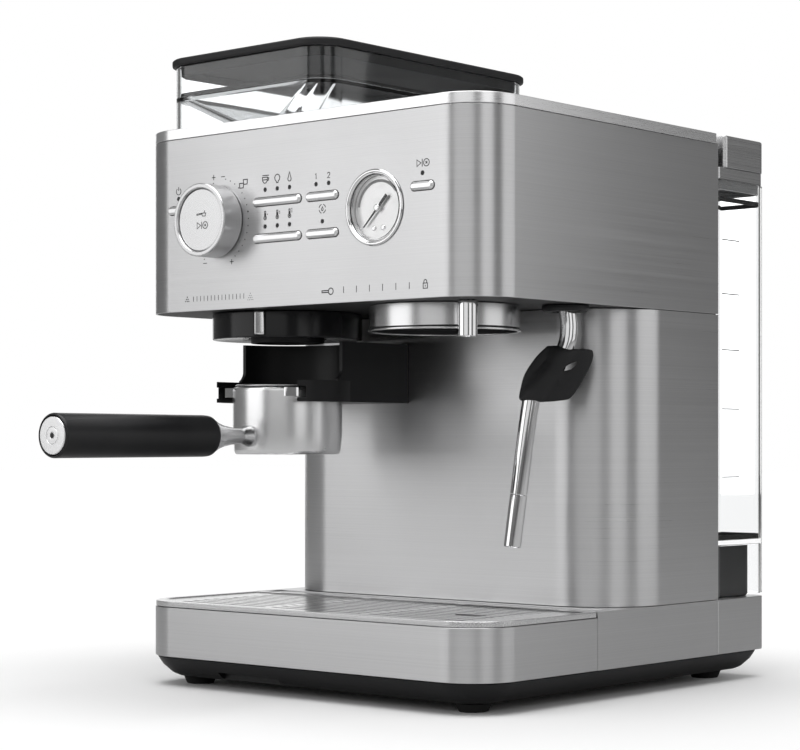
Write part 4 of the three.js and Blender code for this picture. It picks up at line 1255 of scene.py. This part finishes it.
def makeGrindScale():
    # a row of upright bars
    tree, start, end = newTree(
        "grindScale", "GeometryNodeTree", [("Count", "Int", 15), ("Pitch", "Float", 3.35 * mm),
                                           ("Width", "Float", 0.42 * mm), ("Height", "Float", 3.4 * mm)],
        [("Geometry", "Geometry")])
    offset = addNode(tree, "ShaderNodeCombineXYZ", {"X": start["Pitch"]})
    line = addNode(tree, "GeometryNodeMeshLine", {"Count": start["Count"], "Offset": offset.outputs[0]})
    size = addNode(tree, "ShaderNodeCombineXYZ", {"X": start["Width"], "Y": 0.12 * mm, "Z": start["Height"]})
    bar = addNode(tree, "GeometryNodeMeshCube", {"Size": size.outputs[0]})
    bars = onPoints(tree, line.outputs["Mesh"], bar.outputs["Mesh"])
    tree.links.new(painted(tree, bars, finish["ink"]), end["Geometry"])
    laidOut("grindScale", tree, scaleBars, (-93.2 * mm, frontY, symbolRow["scale"] * mm), "machine")


makeSymbols()
makeGrindScale()
print("symbols made")

# Water tank

tankWall = 2.5


def makeTank():
    low, high = span("water_tank")
    shape = lambda inset: outline(low, high, 3, 12, inset, steps=12)
    levels = eased([(8, 96), (tankWall, 96), (tankWall, high.z), (0, high.z), (0, low.z), (tankWall, low.z),
                    (tankWall, 93), (8, 93)], 0.7, 3)
    piece("waterTank", stack(shape, levels), "water_tank", finish["tank"], ["water_tank"])
    band = lambda inset: outline(low, high, 3, 12, inset + 2.7, steps=12)
    for i, (z0, z1) in enumerate(((96.3, 99.6), (326, 329))):
        ring = eased([(0, z0), (0, z1), (1.6, z1), (1.6, z0)], 0.4, closed=True)
        piece("tankBand%d" % (i + 1), stack(band, ring, cyclic=True), "water_tank",
              finish["seal"])
    side = high.x + 0.02
    ticks = []
    for i, z in enumerate((299.8, 263.2, 225.3, 185.3, 139.2)):
        ticks.append(block(side - 0.12, side, low.y + 4, low.y + 26, z - 0.35, z + 0.35))
    piece("tankLevels", merged(*ticks), "water_tank", finish["ink"])


def makeTankLid():
    low, high = span("tank_lid")
    tankLow, tankHigh = span("water_tank")
    bar = lambda inset: outline((low.x, 263), (high.x, high.y), 3, 12, inset, steps=12)
    levels = eased([(10, 348.8), (0.3, 348.8), (0, 349.4), (0, high.z), (10, high.z)], 1.1, 4)
    piece("tankLid", stack(bar, levels), "tank_lid", finish["lidSteel"], ["tank_lid"])
    plug = lambda inset: outline(tankLow, tankHigh, 3, 12, inset, steps=12)
    levels = eased([(12, 338.5), (5.4, 338.5), (5.4, 334), (3.3, 334), (3.3, 340.6), (0.7, 340.6), (0.7, 348.6),
                    (12, 348.6)], 0.5, 3)
    piece("tankLidPlug", stack(plug, levels), "tank_lid", finish["lidSteel"])


makeTank()
makeTankLid()
print("tank made")

# Drip tray, its steel front and the grid

gridLook = {"rim": 6, "split": 115.7, "sunk": 0.8}
gridSlots = {"Rows": 12, "Columns": 3, "Pitch X": 84 * mm, "Pitch Y": 9.4 * mm, "Length": 77 * mm, "Width": 3.4 * mm}


def makeTrayFront():
    low, high = span("tray_fascia")
    path = lambda inset: uPath(low, high, 33, inset, steps=24)
    piece("trayFront", wall(path, sheetSection(low.z, high.z)), "drip_tray", finish["panel"],
          ["tray_fascia"])


def slotTree():
    # a plate less a field of long slots
    tree, start, end = newTree("gridSlots", "GeometryNodeTree", [
        ("Geometry", "Geometry", None), ("Columns", "Int", 3), ("Rows", "Int", 12), ("Pitch X", "Float", 84 * mm),
        ("Pitch Y", "Float", 9.4 * mm), ("Length", "Float", 77 * mm), ("Width", "Float", 3.4 * mm),
        ("Centre", "Vector", None)], [("Geometry", "Geometry")])
    spans = []
    for count, pitch in (("Columns", "Pitch X"), ("Rows", "Pitch Y")):
        gaps = addNode(tree, "ShaderNodeMath", {0: start[count], 1: 1}, operation="SUBTRACT")
        spans.append(addNode(tree, "ShaderNodeMath", {0: gaps.outputs[0], 1: start[pitch]}, operation="MULTIPLY"))
    field = addNode(tree, "GeometryNodeMeshGrid", {
        "Size X": spans[0].outputs[0], "Size Y": spans[1].outputs[0], "Vertices X": start["Columns"],
        "Vertices Y": start["Rows"]})
    moved = addNode(tree, "GeometryNodeTransform", {
        "Geometry": field.outputs["Mesh"], "Translation": start["Centre"]})
    size = addNode(tree, "ShaderNodeCombineXYZ", {"X": start["Length"], "Y": start["Width"], "Z": 30 * mm})
    cutter = addNode(tree, "GeometryNodeMeshCube", {"Size": size.outputs[0]})
    cutters = addNode(tree, "GeometryNodeRealizeInstances", {
        "Geometry": onPoints(tree, moved.outputs["Geometry"], cutter.outputs["Mesh"])})
    slotted = addNode(tree, "GeometryNodeMeshBoolean", {
        "Mesh 1": start["Geometry"], "Mesh 2": cutters.outputs["Geometry"]}, operation="DIFFERENCE")
    tree.links.new(painted(tree, slotted.outputs["Mesh"], finish["grid"]), end["Geometry"])
    return tree


def makeGrid():
    low, high = span("drip_grid")
    rim, split = gridLook["rim"], gridLook["split"]
    frontShape = lambda inset: outline((low.x, low.y), (high.x, split), 32.6, 0.6, inset, steps=16)
    top, sunk = high.z, high.z - gridLook["sunk"]
    frontLevels = eased([(rim + 2, low.z + 1.2), (rim, low.z), (0, low.z), (0, top), (rim - 0.8, top), (rim, sunk),
                         (rim + 2, sunk)], 0.45, 3)
    obj = rawObject("dripGrid", stack(frontShape, frontLevels))
    rearShape = lambda inset: outline((-142.8, 100), (142.8, high.y), 0.6, 6, inset, steps=8)
    combine(obj, [stack(rearShape, [(0, low.z), (0, sunk - 0.05)])], "UNION")
    well = outline((-136, 8), (136, high.y - 6), 22, 4, steps=8)
    combine(obj, [skin([[(x, y, z) for x, y in well] for z in (low.z - 2, low.z + 1.2)])])
    runTree(obj, slotTree(), {**gridSlots, "Centre": (0.0, frontY + 70.5 * mm, (low.z + 2) * mm)})
    f = middle("tray_float")
    hole = outline((f.x - 10, f.y - 5), (f.x + 10, f.y + 5), 5, steps=8)
    combine(obj, [skin([[(x, y, z) for x, y in hole] for z in (50, 60)])])
    place(obj, "drip_grid", finish["grid"], ["drip_grid"])


makeTrayFront()
makeGrid()
print("drip tray made")

# Finishes for the CAD pieces that show as they are

kept = {
    "base_side_cover": "panel", "rear_moulding": "black", "head_floor": "underside", "power_inlet": "black",
    "drip_tray": "black", "tray_float": "black", "light_guide": "lens", "control_board": "machinery",
    "pump": "brass", "thermoblock": "boiler", "grinder_motor": "machinery", "grinder_housing": "machinery",
    "upper_burr": "burr", "lower_burr": "burr",
}
for node, look in kept.items():
    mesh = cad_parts[node].data
    mesh.materials.clear()
    mesh.materials.append(finish[look])
print("kept pieces painted")

# Floor and light

studio = {
    "floor": (0.86, 0.86, 0.86), "mirrored": (0.46, 0.46, 0.46), "fade": (0.2, 0.46), "surround": 0.18, "backdrop": 1.0,
    "lights": [
        # name, place, aims at, width, height, power
        ("frontSoftbox", (-1.05, -1.7, 0.8), (-0.35, 0, 0.4), 1.6, 1.5, 9.8),
        ("fillSoftbox", (0.9, -2.2, 0.9), (0.1, 0, 0.3), 1.8, 1.3, 5.0),
        ("rightSoftbox", (1.7, -0.62, 0.7), (0, 0, 0.3), 0.8, 1.2, 2.6),
        ("sideSoftbox", (1.15, 0.7, 0.55), (0, 0.64, 0.35), 1.0, 1.0, 2.3),
        ("backSoftbox", (-1.75, 1.7, 0.7), (-0.2, 0.2, 0.2), 2.0, 1.3, 7.0),
        ("topSoftbox", (0.1, -0.3, 2.1), (0, 0, 0), 2.2, 2.2, 50),
    ],
}


def seenStraight(tree, limit):
    # 1 where a ray comes straight from the camera or through clear plastic, 0 after a reflection
    rays = addNode(tree, "ShaderNodeLightPath").outputs
    mirrored = addNode(tree, "ShaderNodeMath", {0: rays["Ray Depth"], 1: rays["Transmission Depth"]},
                       operation="SUBTRACT")
    return addNode(tree, "ShaderNodeMath", {0: mirrored.outputs[0], 1: limit}, operation="LESS_THAN").outputs[0]


def fadeToWhite(material, shader):
    # away from the machine the floor glows as white as the backdrop, so that no horizon shows
    tree = material.node_tree
    straight = seenStraight(tree, 0.5)
    coordinates = addNode(tree, "ShaderNodeTexCoord").outputs["Object"]
    distance = addNode(tree, "ShaderNodeVectorMath", {0: coordinates}, operation="LENGTH").outputs["Value"]
    fade = addNode(tree, "ShaderNodeMapRange", {
        "Value": distance, "From Min": studio["fade"][0], "From Max": studio["fade"][1]},
        interpolation_type="SMOOTHSTEP")
    glow = addNode(tree, "ShaderNodeMath", {0: fade.outputs["Result"], 1: straight}, operation="MULTIPLY").outputs[0]
    seen = addNode(tree, "ShaderNodeMix", {
        "Factor": straight, "A": (*studio["mirrored"], 1), "B": (*studio["floor"], 1)}, data_type="RGBA")
    paint = addNode(tree, "ShaderNodeMix", {"Factor": glow, "A": seen.outputs["Result"], "B": (0, 0, 0, 1)},
                    data_type="RGBA")
    feed(tree, shader, {"Base Color": paint.outputs["Result"], "Emission Strength": glow,
                        "Emission Color": (1, 1, 1, 1)})


def makeStudio():
    mesh = bpy.data.meshes.new("floor")
    mesh.from_pydata([(-9, -9, 0), (9, -9, 0), (9, 9, 0), (-9, 9, 0)], [], [(0, 1, 2, 3)])
    floor = bpy.data.objects.new("floor", mesh)
    bpy.context.scene.collection.objects.link(floor)
    material = bpy.data.materials.new("paleFloor")
    material.use_nodes = True
    shader = material.node_tree.nodes["Principled BSDF"]
    feed(material.node_tree, shader, {"Roughness": 0.9, "Specular IOR Level": 0.1})
    fadeToWhite(material, shader)
    mesh.materials.append(material)
    for name, where, aim, width, height, power in studio["lights"]:
        data = bpy.data.lights.new(name, "AREA")
        data.shape = "RECTANGLE"
        data.size, data.size_y, data.energy = width, height, power
        obj = bpy.data.objects.new(name, data)
        obj.location = where
        obj.rotation_euler = (Vector(aim) - Vector(where)).to_track_quat("-Z", "Y").to_euler()
        bpy.context.scene.collection.objects.link(obj)


def makeSurround():
    # white where it is seen straight or through clear plastic, grey where it only lights and mirrors
    world = bpy.data.worlds.new("surround")
    bpy.context.scene.world = world
    world.use_nodes = True
    tree = world.node_tree
    # a background counts as one step further
    strength = addNode(tree, "ShaderNodeMapRange", {
        "Value": seenStraight(tree, 1.5), "To Min": studio["surround"], "To Max": studio["backdrop"]})
    feed(tree, tree.nodes["Background"], {"Strength": strength.outputs["Result"], "Color": (1, 1, 1, 1)})


makeStudio()
makeSurround()
bpy.context.scene.view_settings.view_transform = "Standard"
print("studio made")
